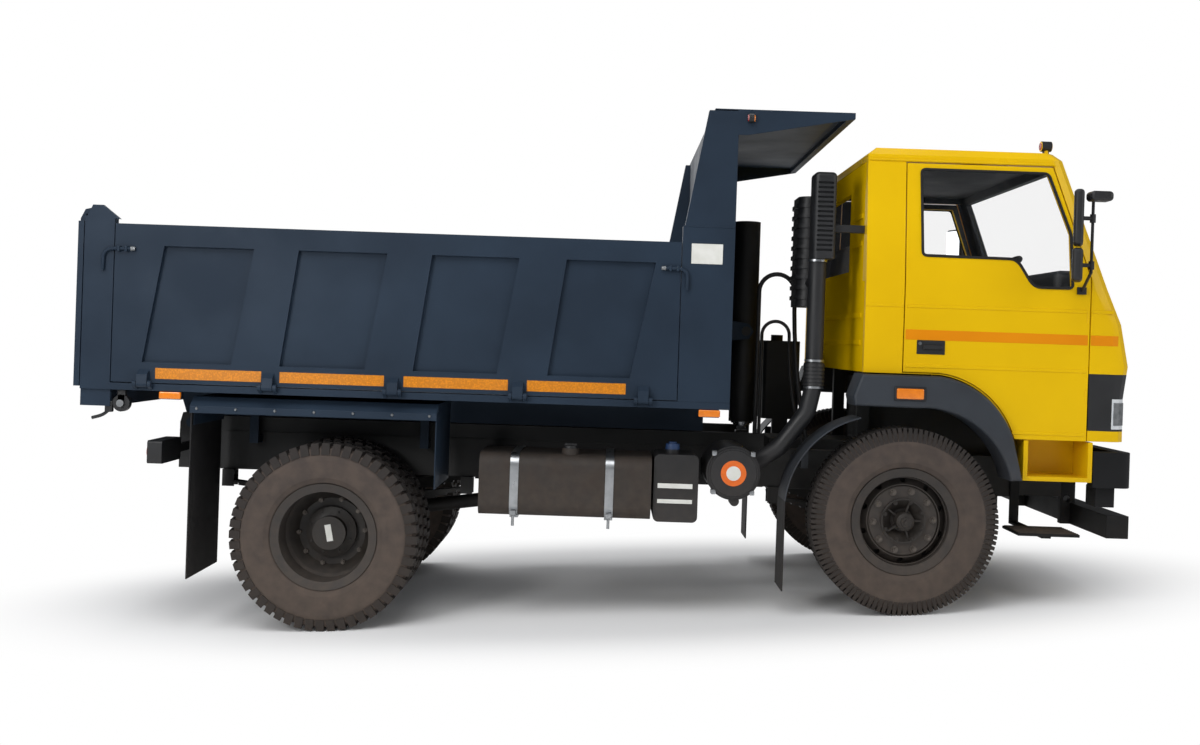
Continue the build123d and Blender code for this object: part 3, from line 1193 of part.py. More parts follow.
# Windscreen and rear window
with BuildPart() as cab_glass:
    slope = (SCREEN_LOW_X - SCREEN_TOP_X) / (SCREEN_TOP_Z - BELT_Z)
    middle_x = SCREEN_LOW_X - CAB_WALL / 2
    pane = [
        (middle_x, BELT_Z),
        (middle_x + GLASS_T, BELT_Z),
        (middle_x + GLASS_T - slope * (SCREEN_TOP_Z - BELT_Z), SCREEN_TOP_Z),
        (middle_x - slope * (SCREEN_TOP_Z - BELT_Z), SCREEN_TOP_Z),
    ]
    side_plate(pane, (-SCREEN_Y, SCREEN_Y))
    block((SCREEN_BACK, AHEAD), (-SCREEN_Y, SCREEN_Y), SCREEN_Z, Mode.INTERSECT)
    rear_x = CAB_REAR + CAB_WALL / 2
    block((rear_x - GLASS_T / 2, rear_x + GLASS_T / 2), (-REAR_WINDOW_Y, REAR_WINDOW_Y), REAR_WINDOW_Z)
keep("cab_glass", cab_glass)

# Dashboard with the steering column, seats, and the steering wheel
DRIVER_Y = -480.0
WHEEL_POS = (3700.0, DRIVER_Y, 1560.0)
WHEEL_R = 215.0
WHEEL_RIM_R = 16.0
WHEEL_TILT = 32.0              # degrees that the steering wheel leans back from level
COLUMN_R = 34.0
SHAFT_FIT_R = 12.0
DASH_Y = 975.0
DASH = [
    (3985.0, 1120.0),
    (3935.0, 1370.0),
    (4020.0, 1448.0),
    (4150.0, 1448.0),
    (4200.0, 1340.0),
    (4226.0, 1240.0),
    (4236.0, 1120.0),
]
tilt = math.radians(WHEEL_TILT)
column_dir = Vector(math.sin(tilt), 0, -math.cos(tilt))
COLUMN_TOP = Vector(*WHEEL_POS) + column_dir * 70.0
COLUMN_LOW = Vector(*WHEEL_POS) + column_dir * 480.0
with BuildPart() as dashboard:
    side_plate(DASH, (-DASH_Y, DASH_Y))
    pair((DOOR_FRONT + 14.0, 4150.0), (DASH_Y, CAB_Y - CAB_WALL), (1180.0, 1330.0))
    bar(tuple(COLUMN_TOP), tuple(COLUMN_LOW), COLUMN_R)
    bar(tuple(COLUMN_TOP), tuple(COLUMN_TOP + column_dir * 80.0), SHAFT_FIT_R + FIT, Mode.SUBTRACT)
keep("dashboard", dashboard)

wheel_plane = Plane(origin=WHEEL_POS, x_dir=(0, 1, 0), z_dir=tuple(column_dir * -1))
with BuildPart() as steering_wheel:
    with Locations(wheel_plane.location):
        Torus(WHEEL_R, WHEEL_RIM_R)
        Cylinder(52.0, 36.0)
        with PolarLocations(WHEEL_R / 2 + 12.0, 3, start_angle=90):
            Box(WHEEL_R - 30.0, 34.0, 16.0)
    bar(WHEEL_POS, tuple(COLUMN_TOP + column_dir * 70.0), SHAFT_FIT_R)
keep("steering_wheel", steering_wheel)

DECK_TOP = CAB_DECK_Z + CAB_WALL
SEATS = (
    # low y, high y
    (DRIVER_Y - 250.0, DRIVER_Y + 250.0),
    (60.0, 860.0),
)
SEAT = [
    (2990.0, DECK_TOP),
    (3215.0, DECK_TOP),
    (3220.0, DECK_TOP + 60.0),
    (3480.0, DECK_TOP + 100.0),
    (3480.0, DECK_TOP + 205.0),
    (3120.0, DECK_TOP + 180.0),
    (3040.0, DECK_TOP + 760.0),
    (2945.0, DECK_TOP + 760.0),
    (2990.0, DECK_TOP + 180.0),
]
with BuildPart() as seats:
    for y in SEATS:
        side_plate(SEAT, y)
keep("seats", seats)

# Mirrors: a bent tube on the front edge of each door carries a main, a wide and a kerb mirror
MIRROR_Y = 1195.0
MIRROR_X = 4045.0
MIRROR_BACK = 74.0             # from the tube back to the middle of a head
MIRROR_TURN = 20.0             # degrees that a head turns towards the driver
MIRROR_ROUND = 20.0
MIRROR_TUBE_R = 8.0
MIRROR_TUBE_Z = (1556.0, 1962.0)
MIRROR_FOOT_X = (4030.0, 4078.0)
MIRROR_FOOT_Y = (CAB_Y, CAB_Y + 14.0)
MIRROR_FOOT_Z = (BELT_Z - 40.0, BELT_Z - 1.0)
MIRRORS = (
    # low and high z, thickness and width of a head
    (1699.0, 1992.0, 50.0, 180.0),
    (1509.0, 1685.0, 54.0, 165.0),
)
KERB_MIRROR = (118.0, 100.0, 52.0)
KERB_OFF = (18.0, 40.0, -4.0)  # its middle from the top of the tube


def mirror_head(size, place):
    """A mirror's shell with all its edges rounded."""
    with BuildPart() as head:
        with Locations(place):
            Box(*size)
        fillet(head.edges(), radius=MIRROR_ROUND)
    return head.part


for side, tag in ((1, "left"), (-1, "right")):
    y = side * MIRROR_Y
    with BuildPart() as mirror:
        for low, high, depth, width in MIRRORS:
            middle = (MIRROR_X - MIRROR_BACK, y, (low + high) / 2)
            add(mirror_head((depth, width, high - low), Location(middle, (0, 0, side * MIRROR_TURN))))
        off_x, off_y, off_z = KERB_OFF
        kerb = (MIRROR_X + off_x, y + side * off_y, MIRROR_TUBE_Z[1] + off_z)
        add(mirror_head(KERB_MIRROR, Location(kerb)))
        post((MIRROR_X, y), MIRROR_TUBE_R, MIRROR_TUBE_Z)
        block(MIRROR_FOOT_X, across(side, *MIRROR_FOOT_Y), MIRROR_FOOT_Z)
        foot = (sum(MIRROR_FOOT_X) / 2, side * (CAB_Y + 10.0), sum(MIRROR_FOOT_Z) / 2)
        bar((MIRROR_X, y, MIRROR_TUBE_Z[0] + 4.0), foot, MIRROR_TUBE_R)
        for low, high, _, _ in MIRRORS:
            middle = (low + high) / 2
            bar((MIRROR_X - MIRROR_BACK, y, middle), (MIRROR_X + 6.0, y, middle), MIRROR_TUBE_R + 3.0)
    keep("mirrors_" + tag, mirror)

# Load bed: floor on cross bearers and two long beams, side rails, rear posts and the tipping shaft
BEAM_Y = (RAIL_Y - 65.0, RAIL_Y - 5.0)
BEAM_GAP = 6.0
REAR_BEAM_L = 160.0            # cross beam under the rear edge of the floor
REAR_BEAM_H = 90.0
REAR_BEAM_Y = BED_Y - 12.0
BEAM_REAR = TIP_X + 85.0
BEARER_L = 80.0
BEARERS = 8
LUG_R = TIP_PIN_R + 12.0       # round end of a tipping lug
RAIL_IN = BED_Y - BOARD_T
SIDE_RAIL_Y = (RAIL_IN - 45.0, BED_Y)
EAR_L = 18.0
MARKER_X = (-835.0, 2060.0)
FLOOR_FRONT = CHEEK_FRONT - 90.0
WALL_X = (FLOOR_FRONT - 40.0, FLOOR_FRONT - 34.0)     # sheet of the headboard
with BuildPart() as bed_frame:
    block((BED_REAR, FLOOR_FRONT), (-RAIL_IN, RAIL_IN), (FLOOR_Z - FLOOR_T, FLOOR_Z))
    sheet_y = RAIL_IN - FLOOR_PROUD
    sheet_x = (BED_REAR, WALL_X[0] - FLOOR_PROUD)
    block(sheet_x, (-sheet_y, sheet_y), (FLOOR_Z - FLOOR_T, FLOOR_Z + FLOOR_PROUD))
    pair((BED_REAR, CHEEK_FRONT), SIDE_RAIL_Y, (BED_Z, FLOOR_Z))
    step = (FLOOR_FRONT - BED_REAR - BEARER_L) / (BEARERS - 1)
    for k in range(BEARERS):
        x = BED_REAR + k * step
        block((x, x + BEARER_L), (-RAIL_IN, RAIL_IN), (BED_Z, FLOOR_Z))
    pair((BEAM_REAR, FLOOR_FRONT), BEAM_Y, (SUB_TOP + BEAM_GAP, BED_Z))
    block((BED_REAR, BED_REAR + REAR_BEAM_L), (-REAR_BEAM_Y, REAR_BEAM_Y), (BED_Z - REAR_BEAM_H, BED_Z))
    # lugs down to the tipping shaft
    both_sides(
        [
            (TIP_X - LUG_R, TIP_Z),
            (TIP_X + LUG_R, TIP_Z),
            (TIP_X + 150.0, FLOOR_Z - FLOOR_T),
            (TIP_X - 120.0, FLOOR_Z - FLOOR_T),
        ],
        LUG_Y,
    )
    for side in (1, -1):
        rod((TIP_X, TIP_Z), LUG_R, LUG_Y if side > 0 else (-LUG_Y[1], -LUG_Y[0]))
    rod((TIP_X, TIP_Z), TIP_PIN_R, (-RAIL_Y - 12.0, RAIL_Y + 12.0))
    # rear corner posts with the ears of the tailgate hinge
    pair((BED_REAR, POST_FRONT), (RAIL_IN, BED_Y), (FLOOR_Z, POST_TOP))
    both_sides(
        [
            (BED_REAR + 10.0, POST_TOP),
            (POST_FRONT + 30.0, POST_TOP - 12.0),
            (GATE_PIVOT_X + 30.0, GATE_PIVOT_Z + 18.0),
            (GATE_PIVOT_X - 26.0, GATE_PIVOT_Z + 18.0),
        ],
        (BED_Y - 20.0, BED_Y),
    )
    rod((GATE_PIVOT_X, GATE_PIVOT_Z), GATE_PIN_R + FIT, (-BED_Y - 5.0, BED_Y + 5.0), Mode.SUBTRACT)
    # hinge ears of the drop sides
    for x in HINGE_X:
        for low in (x - HINGE_W / 2, x + HINGE_W / 2 - EAR_L):
            for side in (1, -1):
                ear = [
                    (side * (BED_Y - 2.0), BED_Z + 4.0),
                    (side * HINGE_Y, FLOOR_Z - HINGE_R),
                    (side * HINGE_Y, FLOOR_Z),
                    (side * (BED_Y - 2.0), FLOOR_Z),
                ]
                cross_plate(ear, (low, low + EAR_L))
                with Locations(Location((low + EAR_L / 2, side * HINGE_Y, FLOOR_Z), (0, 90, 0))):
                    Cylinder(HINGE_R, EAR_L)
        for side in (1, -1):
            with Locations(Location((x, side * HINGE_Y, FLOOR_Z), (0, 90, 0))):
                Cylinder(HINGE_PIN_R + FIT, HINGE_W + 20.0, mode=Mode.SUBTRACT)
    # marker lamp bodies under the side rail
    for x in MARKER_X:
        pair((x - 52.0, x + 52.0), (BED_Y - 60.0, BED_Y - 10.0), (BED_Z - 44.0, BED_Z))
keep("bed_frame", bed_frame)

# Headboard: cheek posts, front wall with ribs, the canopy over the cab gap and the hoist bracket
CHEEK = [
    (CHEEK_REAR, FLOOR_Z),
    (CHEEK_FRONT, FLOOR_Z),
    (CHEEK_FRONT, CANOPY_Z - 10.0),
    (CHEEK_REAR + 121.0, CANOPY_Z - 10.0),
    (CHEEK_REAR + 10.0, CHEEK_WAIST_Z),
    (CHEEK_REAR, CHEEK_WAIST_Z),
]
RIB_X = (WALL_X[1], FLOOR_FRONT)
RIB_Y = (-700.0, -350.0, 350.0, 700.0)
CANOPY_T = 6.0
GUSSET_ROOT = 138.0
GUSSET_TIP = 34.0
HOIST_EAR_Y = (HOIST_RADII[0] + 10.0, HOIST_RADII[0] + 34.0)
TRUNNION_R = 28.0
with BuildPart() as headboard:
    both_sides(CHEEK, (RAIL_IN, BED_Y))
    block(WALL_X, (-RAIL_IN, RAIL_IN), (FLOOR_Z, CANOPY_Z))
    for y in RIB_Y:
        block(RIB_X, (y - 35.0, y + 35.0), (FLOOR_Z, CANOPY_Z))
    for z in (FLOOR_Z, 1230.0, CHEEK_WAIST_Z - 30.0):
        block(RIB_X, (-RAIL_IN, RAIL_IN), (z, z + 60.0))
    block((WALL_X[0], CANOPY_FRONT), (-BED_Y, BED_Y), (CANOPY_Z - CANOPY_T, CANOPY_Z))
    block((CANOPY_FRONT - 40.0, CANOPY_FRONT), (-BED_Y, BED_Y), (CANOPY_Z - GUSSET_TIP, CANOPY_Z))
    gusset = [
        (CHEEK_FRONT - 5.0, CANOPY_Z),
        (CANOPY_FRONT, CANOPY_Z),
        (CANOPY_FRONT, CANOPY_Z - GUSSET_TIP),
        (CHEEK_FRONT + 49.0, CANOPY_Z - GUSSET_ROOT),
        (CHEEK_FRONT - 5.0, CANOPY_Z - GUSSET_ROOT),
    ]
    both_sides(gusset, (BED_Y - 8.0, BED_Y))
    # ears that carry the trunnions of the hoist barrel
    both_sides(
        [
            (RIB_X[0], HOIST_PIN_Z - 90.0),
            (HOIST_X + 20.0, HOIST_PIN_Z - 46.0),
            (HOIST_X + 46.0, HOIST_PIN_Z),
            (HOIST_X + 20.0, HOIST_PIN_Z + 46.0),
            (RIB_X[0], HOIST_PIN_Z + 90.0),
        ],
        HOIST_EAR_Y,
    )
    bore_y = HOIST_EAR_Y[1] + 5.0
    rod((HOIST_X, HOIST_PIN_Z), TRUNNION_R + FIT, (-bore_y, bore_y), Mode.SUBTRACT)
keep("headboard", headboard)

# Drop sides: pressed panel with slanted ribs, top rail, lower band and hinge knuckles
BOARD_X = (POST_FRONT + BOARD_GAP, CHEEK_REAR - BOARD_GAP)
PANEL_Y = (RAIL_IN, BED_Y - 26.0)
TOP_RAIL_Z = 1541.0
BAND_TOP = 916.0
SLANT = 105.0                  # how far a rib's top leans forward of its foot
RIBS = (
    # x of a rib's rear and front edges at its foot
    (-513.0, -254.0),
    (202.0, 462.0),
    (911.0, 1184.0),
)
STILES = (
    # x of an end panel's edges at its foot and at its top
    (BOARD_X[0], -993.0, BOARD_X[0], -890.0),
    (1626.0, BOARD_X[1], 1749.0, BOARD_X[1]),
)
for side, tag in ((1, "left"), (-1, "right")):
    with BuildPart() as board:
        block(BOARD_X, across(side, *PANEL_Y), (BOARD_LOW, BOARD_TOP))
        block(BOARD_X, across(side, RAIL_IN, BED_Y), (TOP_RAIL_Z, BOARD_TOP))
        block(BOARD_X, across(side, RAIL_IN, BED_Y), (BOARD_LOW, BAND_TOP))
        for rear, front in RIBS:
            rib = [
                (rear, BAND_TOP - 5.0),
                (front, BAND_TOP - 5.0),
                (front + SLANT - 20.0, TOP_RAIL_Z + 5.0),
                (rear + SLANT, TOP_RAIL_Z + 5.0),
            ]
            side_plate(rib, across(side, RAIL_IN, BED_Y))
        for foot_0, foot_1, top_0, top_1 in STILES:
            stile = [
                (foot_0, BAND_TOP - 5.0),
                (foot_1, BAND_TOP - 5.0),
                (top_1, TOP_RAIL_Z + 5.0),
                (top_0, TOP_RAIL_Z + 5.0),
            ]
            side_plate(stile, across(side, RAIL_IN, BED_Y))
        knuckle_w = HINGE_W - 2 * EAR_L - 6.0
        for x in HINGE_X:
            span = (x - knuckle_w / 2, x + knuckle_w / 2)
            strap = [
                (side * (BED_Y - 2.0), BOARD_LOW + 72.0),
                (side * (HINGE_Y + 10.0), BOARD_LOW + 45.0),
                (side * (HINGE_Y + HINGE_R), FLOOR_Z),
                (side * HINGE_Y, FLOOR_Z),
                (side * (HINGE_Y - 10.0), BOARD_LOW + 4.0),
                (side * (BED_Y - 2.0), BOARD_LOW + 4.0),
            ]
            cross_plate(strap, span)
            with Locations(Location((x, side * HINGE_Y, FLOOR_Z), (0, 90, 0))):
                Cylinder(HINGE_R, knuckle_w)
                Cylinder(HINGE_PIN_R, HINGE_W)
    keep("side_board_" + tag, board)

# Tailgate, hung from its top corners
GATE_Y = BED_Y
GATE_BAR = 80.0
ARM_IN = BED_Y - 66.0
ARM_OUT = BED_Y - 26.0
with BuildPart() as tailgate:
    block((GATE_X + 14.0, GATE_X + GATE_T), (-GATE_Y, GATE_Y), (GATE_LOW, GATE_TOP))
    for z in (GATE_LOW, 1230.0, GATE_TOP - GATE_BAR):
        block((GATE_X, GATE_X + GATE_T), (-GATE_Y, GATE_Y), (z, z + GATE_BAR))
    for y in (-GATE_Y + 40.0, -370.0, 370.0, GATE_Y - 40.0):
        block((GATE_X, GATE_X + GATE_T), (y - 40.0, y + 40.0), (GATE_LOW, GATE_TOP))
    both_sides(
        [
            (GATE_X, GATE_TOP - 10.0),
            (GATE_X + GATE_T, GATE_TOP - 10.0),
            (GATE_X + GATE_T, POST_TOP + 12.0),
            (GATE_PIVOT_X + 18.0, POST_TOP + 14.0),
            (GATE_PIVOT_X + 18.0, GATE_PIVOT_Z + 16.0),
            (GATE_X + 25.0, GATE_PIVOT_Z - 5.0),
            (GATE_X, GATE_TOP + 15.0),
        ],
        (ARM_IN, ARM_OUT),
    )
    for side in (1, -1):
        rod((GATE_PIVOT_X, GATE_PIVOT_Z), GATE_PIN_R, (ARM_IN, BED_Y) if side > 0 else (-BED_Y, -ARM_IN))
keep("tailgate", tailgate)

# Hoist: the barrel hangs on trunnions at the headboard and its stages push down onto the frame
STAGE_COUNT = len(HOIST_RADII) - 1


def tipped(x, z, degrees):
    """Where a point of the bed goes when the bed is tipped."""
    a = math.radians(degrees)
    dx, dz = x - TIP_X, z - TIP_Z
    return TIP_X + dx * math.cos(a) - dz * math.sin(a), TIP_Z + dx * math.sin(a) + dz * math.cos(a)


top_x, top_z = tipped(HOIST_X, HOIST_PIN_Z, TIP_MAX)
CLOSED = HOIST_PIN_Z - HOIST_FOOT_Z
OPEN = math.hypot(top_x - HOIST_X, top_z - HOIST_FOOT_Z)
STROKE = (OPEN - CLOSED) / STAGE_COUNT
SWING = TIP_MAX - math.degrees(math.atan2(HOIST_X - top_x, top_z - HOIST_FOOT_Z))
with BuildPart() as hoist_barrel:
    post((HOIST_X, 0), HOIST_RADII[0], (HOIST_LOW_Z, HOIST_TOP_Z))
    post((HOIST_X, 0), HOIST_RADII[0] + 8.0, (HOIST_PIN_Z - 50.0, HOIST_PIN_Z + 50.0))
    post((HOIST_X, 0), HOIST_RADII[1] + FIT, (HOIST_LOW_Z - 5.0, HOIST_TOP_Z - 24.0), Mode.SUBTRACT)
    for side in (1, -1):
        low, high = HOIST_RADII[0] - 4.0, HOIST_EAR_Y[1]
        rod((HOIST_X, HOIST_PIN_Z), TRUNNION_R, (low, high) if side > 0 else (-high, -low))
keep("hoist_barrel", hoist_barrel)

for stage in range(1, STAGE_COUNT + 1):
    with BuildPart() as tube:
        low = HOIST_LOW_Z - 10.0 * stage
        top = HOIST_TOP_Z - 24.0 - 30.0 * stage
        post((HOIST_X, 0), HOIST_RADII[stage], (low, top))
        if stage < STAGE_COUNT:
            bore = HOIST_RADII[stage + 1] + FIT
            post((HOIST_X, 0), bore, (low - 5.0, top - 20.0), Mode.SUBTRACT)
        else:
            width = (-HOIST_EYE_W / 2, HOIST_EYE_W / 2)
            rod((HOIST_X, HOIST_FOOT_Z), HOIST_EYE_R, width)
            block((HOIST_X - 32.0, HOIST_X + 32.0), width, (HOIST_FOOT_Z, low + 5.0))
            rod((HOIST_X, HOIST_FOOT_Z), HOIST_PIN_R + FIT, (width[0] - 5.0, width[1] + 5.0), Mode.SUBTRACT)
    keep("hoist_stage_" + str(stage), tube)

# Everything is tilted by the rake, stood on the tyres and centred along its length
tilted = {name: part.moved(Location((0, 0, 0), (0, RAKE, 0))) for name, part in pieces.items()}
rear_end = min(part.bounding_box().min.X for part in tilted.values())
front_end = max(part.bounding_box().max.X for part in tilted.values())
SHIFT = -(rear_end + front_end) / 2
for name, part in tilted.items():
    placed = part.moved(Location((SHIFT, 0, TYRE_R)))
    placed.label = name
    export_step(placed, "parts/" + name + ".step")


def placed_point(x, y, z):
    """A chassis point in the finished truck."""
    return (
        SHIFT + x * math.cos(RAKE_RAD) + z * math.sin(RAKE_RAD),
        y,
        TYRE_R - x * math.sin(RAKE_RAD) + z * math.cos(RAKE_RAD),
    )


PIVOTS = (
    ("tip", TIP_X, 0.0, TIP_Z),
    ("front_hub", FRONT_X, 0.0, FRONT_Z),
    ("rear_hub", 0.0, 0.0, 0.0),
    ("kingpin", FRONT_X, KINGPIN_Y, FRONT_Z),
    ("ball", FRONT_X - ARM_BACK, ARM_Y, FRONT_Z + ARM_Z),
    ("gate", GATE_PIVOT_X, 0.0, GATE_PIVOT_Z),
    ("board_hinge", 0.0, HINGE_Y, FLOOR_Z),
    ("door_hinge", DOOR_HINGE_X, DOOR_HINGE_Y, BELT_Z),
    ("hoist_trunnion", HOIST_X, 0.0, HOIST_PIN_Z),
    ("steering_wheel", *WHEEL_POS),
)
for name, x, y, z in PIVOTS:
    print(name, *[round(v, 2) for v in placed_point(x, y, z)])
print("hoist stroke per stage", round(STROKE, 2), "barrel swing", round(SWING, 3), "shift", round(SHIFT, 3))
print("steering column axis", [round(v, 5) for v in column_dir * -1])
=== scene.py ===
# %% [markdown]
# This lesson dresses a dump truck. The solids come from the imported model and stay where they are:
# everything made here is a finish, a softened copy of a panel, or a small piece that sits on a panel.

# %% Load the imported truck
import json
import math

import bmesh
import bpy
from mathutils import Matrix, Vector


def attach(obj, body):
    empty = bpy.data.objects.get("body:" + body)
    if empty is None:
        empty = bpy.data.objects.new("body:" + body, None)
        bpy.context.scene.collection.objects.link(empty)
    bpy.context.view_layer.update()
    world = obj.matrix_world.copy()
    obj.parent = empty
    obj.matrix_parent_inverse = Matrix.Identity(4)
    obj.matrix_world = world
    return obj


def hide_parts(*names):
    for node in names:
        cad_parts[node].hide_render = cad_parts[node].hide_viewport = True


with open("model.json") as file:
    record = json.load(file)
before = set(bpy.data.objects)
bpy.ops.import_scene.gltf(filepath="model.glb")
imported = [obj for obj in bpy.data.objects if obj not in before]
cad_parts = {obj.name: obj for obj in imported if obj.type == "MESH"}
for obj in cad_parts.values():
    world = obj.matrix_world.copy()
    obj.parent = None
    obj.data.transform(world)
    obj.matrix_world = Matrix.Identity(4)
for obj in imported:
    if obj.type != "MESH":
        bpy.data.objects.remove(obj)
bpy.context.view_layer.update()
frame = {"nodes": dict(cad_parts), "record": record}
record = frame["record"]
behaviour = record["behaviour"]
joints = {joint["name"]: joint for joint in behaviour["joints"]}
body_of_node = {node: body for body, nodes in behaviour["bodies"].items() for node in nodes}
slot_of_node = {part["node"]: part["material_slot"] for part in record["subparts"]}
scene = bpy.context.scene

# %% [markdown]
# The truck stands nose-down by a few degrees, as it does unladen. Sizes are easier to think of along
# the frame rails, so one matrix turns a point given in millimetres from the rear hub, along the rails,
# across and square to them, into the model's frame in metres. Its axes are read from the joints: the
# drop side's hinge line runs along the rails and the door's hinge line is square to them.

# %% A frame along the rails
MM = 0.001
ALONG = Vector(joints["side_right"]["axis"])
UP = Vector(joints["door_right"]["axis"])
LEFT = Vector((0, 1, 0))
REAR_HUB = Vector(joints["spin_rear_left"]["pos_m"]) * Vector((1, 0, 1))
FRONT_HUB = Vector(joints["spin_front_left"]["pos_m"]) * Vector((1, 0, 1))
RAILS = Matrix.Translation(REAR_HUB) @ Matrix((ALONG, LEFT, UP)).transposed().to_4x4() @ Matrix.Scale(MM, 4)
NEAR = -1                      # the truck's right side, which faces the camera
FAR = 1
SIDES = ((FAR, "left"), (NEAR, "right"))
print("rake", round(math.degrees(math.asin(-ALONG.z)), 2), "degrees, rear hub", REAR_HUB[:])

# %% [markdown]
# The photograph was taken square to the truck's side from about eight metres, at chest height, with
# the camera held a little askew. The lens and shift put the optical axis where the photograph has it.

# %% Camera at the photograph's place
LENS_MM = 38.04
AXIS_OFF_CENTRE = (-0.0083, -0.0271)
CAMERA_FROM_REAR_HUB = 1.578
CAMERA_DISTANCE = 7.9
CAMERA_HEIGHT = 1.535
CAMERA_ROLL = math.radians(-1.47)

camera_data = bpy.data.cameras.new("camera")
camera_data.lens = LENS_MM
camera_data.shift_x, camera_data.shift_y = AXIS_OFF_CENTRE
camera = bpy.data.objects.new("camera", camera_data)
scene.collection.objects.link(camera)
camera.matrix_world = (
    Matrix.Translation((REAR_HUB.x + CAMERA_FROM_REAR_HUB, -CAMERA_DISTANCE, CAMERA_HEIGHT))
    @ Matrix.Rotation(math.radians(90), 4, "X")
    @ Matrix.Rotation(CAMERA_ROLL, 4, "Z")
)
scene.camera = camera
print("camera at", [round(v, 3) for v in camera.matrix_world.translation])

# %% [markdown]
# A plain studio: a pale floor and a soft world, with one wide lamp above and in front of the near side
# so that the panels' upper faces catch more light than their walls, and weaker ones around it. The world
# is white to the camera and through glass, grey to matt faces and darker still to shiny ones, so that
# colours render about as written and no panel is veiled by the sky at a glancing view.

# %% Floor, world and lamps
def srgb(hex_colour):
    """A written colour as the linear values that shaders use."""
    channels = [int(hex_colour[k:k + 2], 16) / 255 for k in (1, 3, 5)]
    linear = [c / 12.92 if c <= 0.04045 else ((c + 0.055) / 1.055) ** 2.4 for c in channels]
    return (*linear, 1.0)


def add_node(tree, kind, inputs=None, **settings):
    """Adds a shader node, sets its properties, and fills its inputs with values or links."""
    made = tree.nodes.new("ShaderNode" + kind)
    for name, value in settings.items():
        setattr(made, name, value)
    for name, value in (inputs or {}).items():
        if isinstance(value, bpy.types.NodeSocket):
            tree.links.new(value, made.inputs[name])
        else:
            made.inputs[name].default_value = value
    return made


SKY_TINT = srgb("#f4f6fa")
SKY_TO_MATT = 0.42
SKY_TO_SHINY = 0.2
scene.view_settings.view_transform = "Standard"
world = bpy.data.worlds.new("studio")
scene.world = world
world.use_nodes = True
sky = world.node_tree
sky.nodes.clear()
rays = add_node(sky, "LightPath").outputs
seen = add_node(sky, "Math", {0: rays["Is Camera Ray"], 1: rays["Is Transmission Ray"]}, operation="MAXIMUM")
matt = add_node(sky, "Background", {"Color": SKY_TINT, "Strength": SKY_TO_MATT})
shiny = add_node(sky, "Background", {"Color": SKY_TINT, "Strength": SKY_TO_SHINY})
white = add_node(sky, "Background", {"Color": (1, 1, 1, 1), "Strength": 1.0})
unseen = add_node(sky, "MixShader", {0: rays["Is Glossy Ray"], 1: matt.outputs[0], 2: shiny.outputs[0]})
pick = add_node(sky, "MixShader", {0: seen.outputs[0], 1: unseen.outputs[0], 2: white.outputs[0]})
add_node(sky, "OutputWorld", {"Surface": pick.outputs[0]})

FLOOR_SIZE = 60.0
FADE = (1.2, 2.1)              # from how far the floor turns plain white, in m across the truck
FADE_ALONG = 0.5               # how much slower that goes along the truck
floor_mesh = bpy.data.meshes.new("floor")
shape = bmesh.new()
bmesh.ops.create_grid(shape, x_segments=1, y_segments=1, size=FLOOR_SIZE / 2)
shape.to_mesh(floor_mesh)
shape.free()
floor = bpy.data.objects.new("floor", floor_mesh)
scene.collection.objects.link(floor)

pale = bpy.data.materials.new("pale studio floor")
pale.use_nodes = True
tree = pale.node_tree
tree.nodes.clear()
matte = add_node(tree, "BsdfDiffuse", {"Color": srgb("#f2f2f2")})
glow = add_node(tree, "Emission", {"Color": (1, 1, 1, 1), "Strength": 1.0})
to_camera = add_node(tree, "LightPath").outputs["Is Camera Ray"]
place = add_node(tree, "TexCoord").outputs["Object"]
squeezed = add_node(tree, "VectorMath", {0: place, 1: (FADE_ALONG, 1.0, 0.0)}, operation="MULTIPLY")
away = add_node(tree, "VectorMath", {0: squeezed.outputs[0]}, operation="LENGTH").outputs["Value"]
fade = add_node(tree, "MapRange", {"Value": away, "From Min": FADE[0], "From Max": FADE[1]},
                interpolation_type="SMOOTHSTEP")
seen = add_node(tree, "Math", {0: fade.outputs[0], 1: to_camera}, operation="MULTIPLY")
pick = add_node(tree, "MixShader", {0: seen.outputs[0], 1: matte.outputs[0], 2: glow.outputs[0]})
add_node(tree, "OutputMaterial", {"Surface": pick.outputs[0]})
floor_mesh.materials.append(pale)


def lamp(name, place, aim, size, watts):
    """A soft rectangular lamp."""
    data = bpy.data.lights.new(name, "AREA")
    data.shape = "RECTANGLE"
    data.size, data.size_y = size
    data.energy = watts
    made = bpy.data.objects.new(name, data)
    scene.collection.objects.link(made)
    made.location = place
    made.rotation_euler = (Vector(aim) - Vector(place)).to_track_quat("-Z", "Y").to_euler()


MIDDLE = (0, 0, 1.2)
BEHIND_CAB = (1.3, -0.6, 2.0)
LAMPS = (
    # name, place, aim, size and watts
    ("key", (-1.5, -5.0, 7.0), MIDDLE, (7.0, 4.0), 285),
    ("gap fill", (-3.5, -5.5, 3.0), BEHIND_CAB, (1.5, 1.5), 100),
    ("front fill", (7.5, -4.5, 4.0), MIDDLE, (4.0, 3.0), 120),
    ("top", (0, 2.0, 8.0), MIDDLE, (7.0, 5.0), 300),
    ("far fill", (-4.0, 7.5, 4.5), MIDDLE, (6.0, 3.0), 160),
)
for row in LAMPS:
    lamp(*row)

# %% [markdown]
# Working trucks are never one flat colour. Paint fades in patches, and road dust settles low down and
# thins out upwards. So one recipe serves most finishes: two colours mixed by large soft patches, a
# roughness that wanders, a fine bump, and a veil of dust that depends on height above the ground.
# Every pattern reads Object coordinates, which are metres in the truck's own frame.

# %% The shared recipe for a surface
DUST = srgb("#6b5d50")
DUST_SPECK_MM = 45
DUST_GAIN = 1.7                # makes up for the specks' average of about a half
DUST_ROUGHNESS = 0.92
BUMP_DEPTH = 0.002


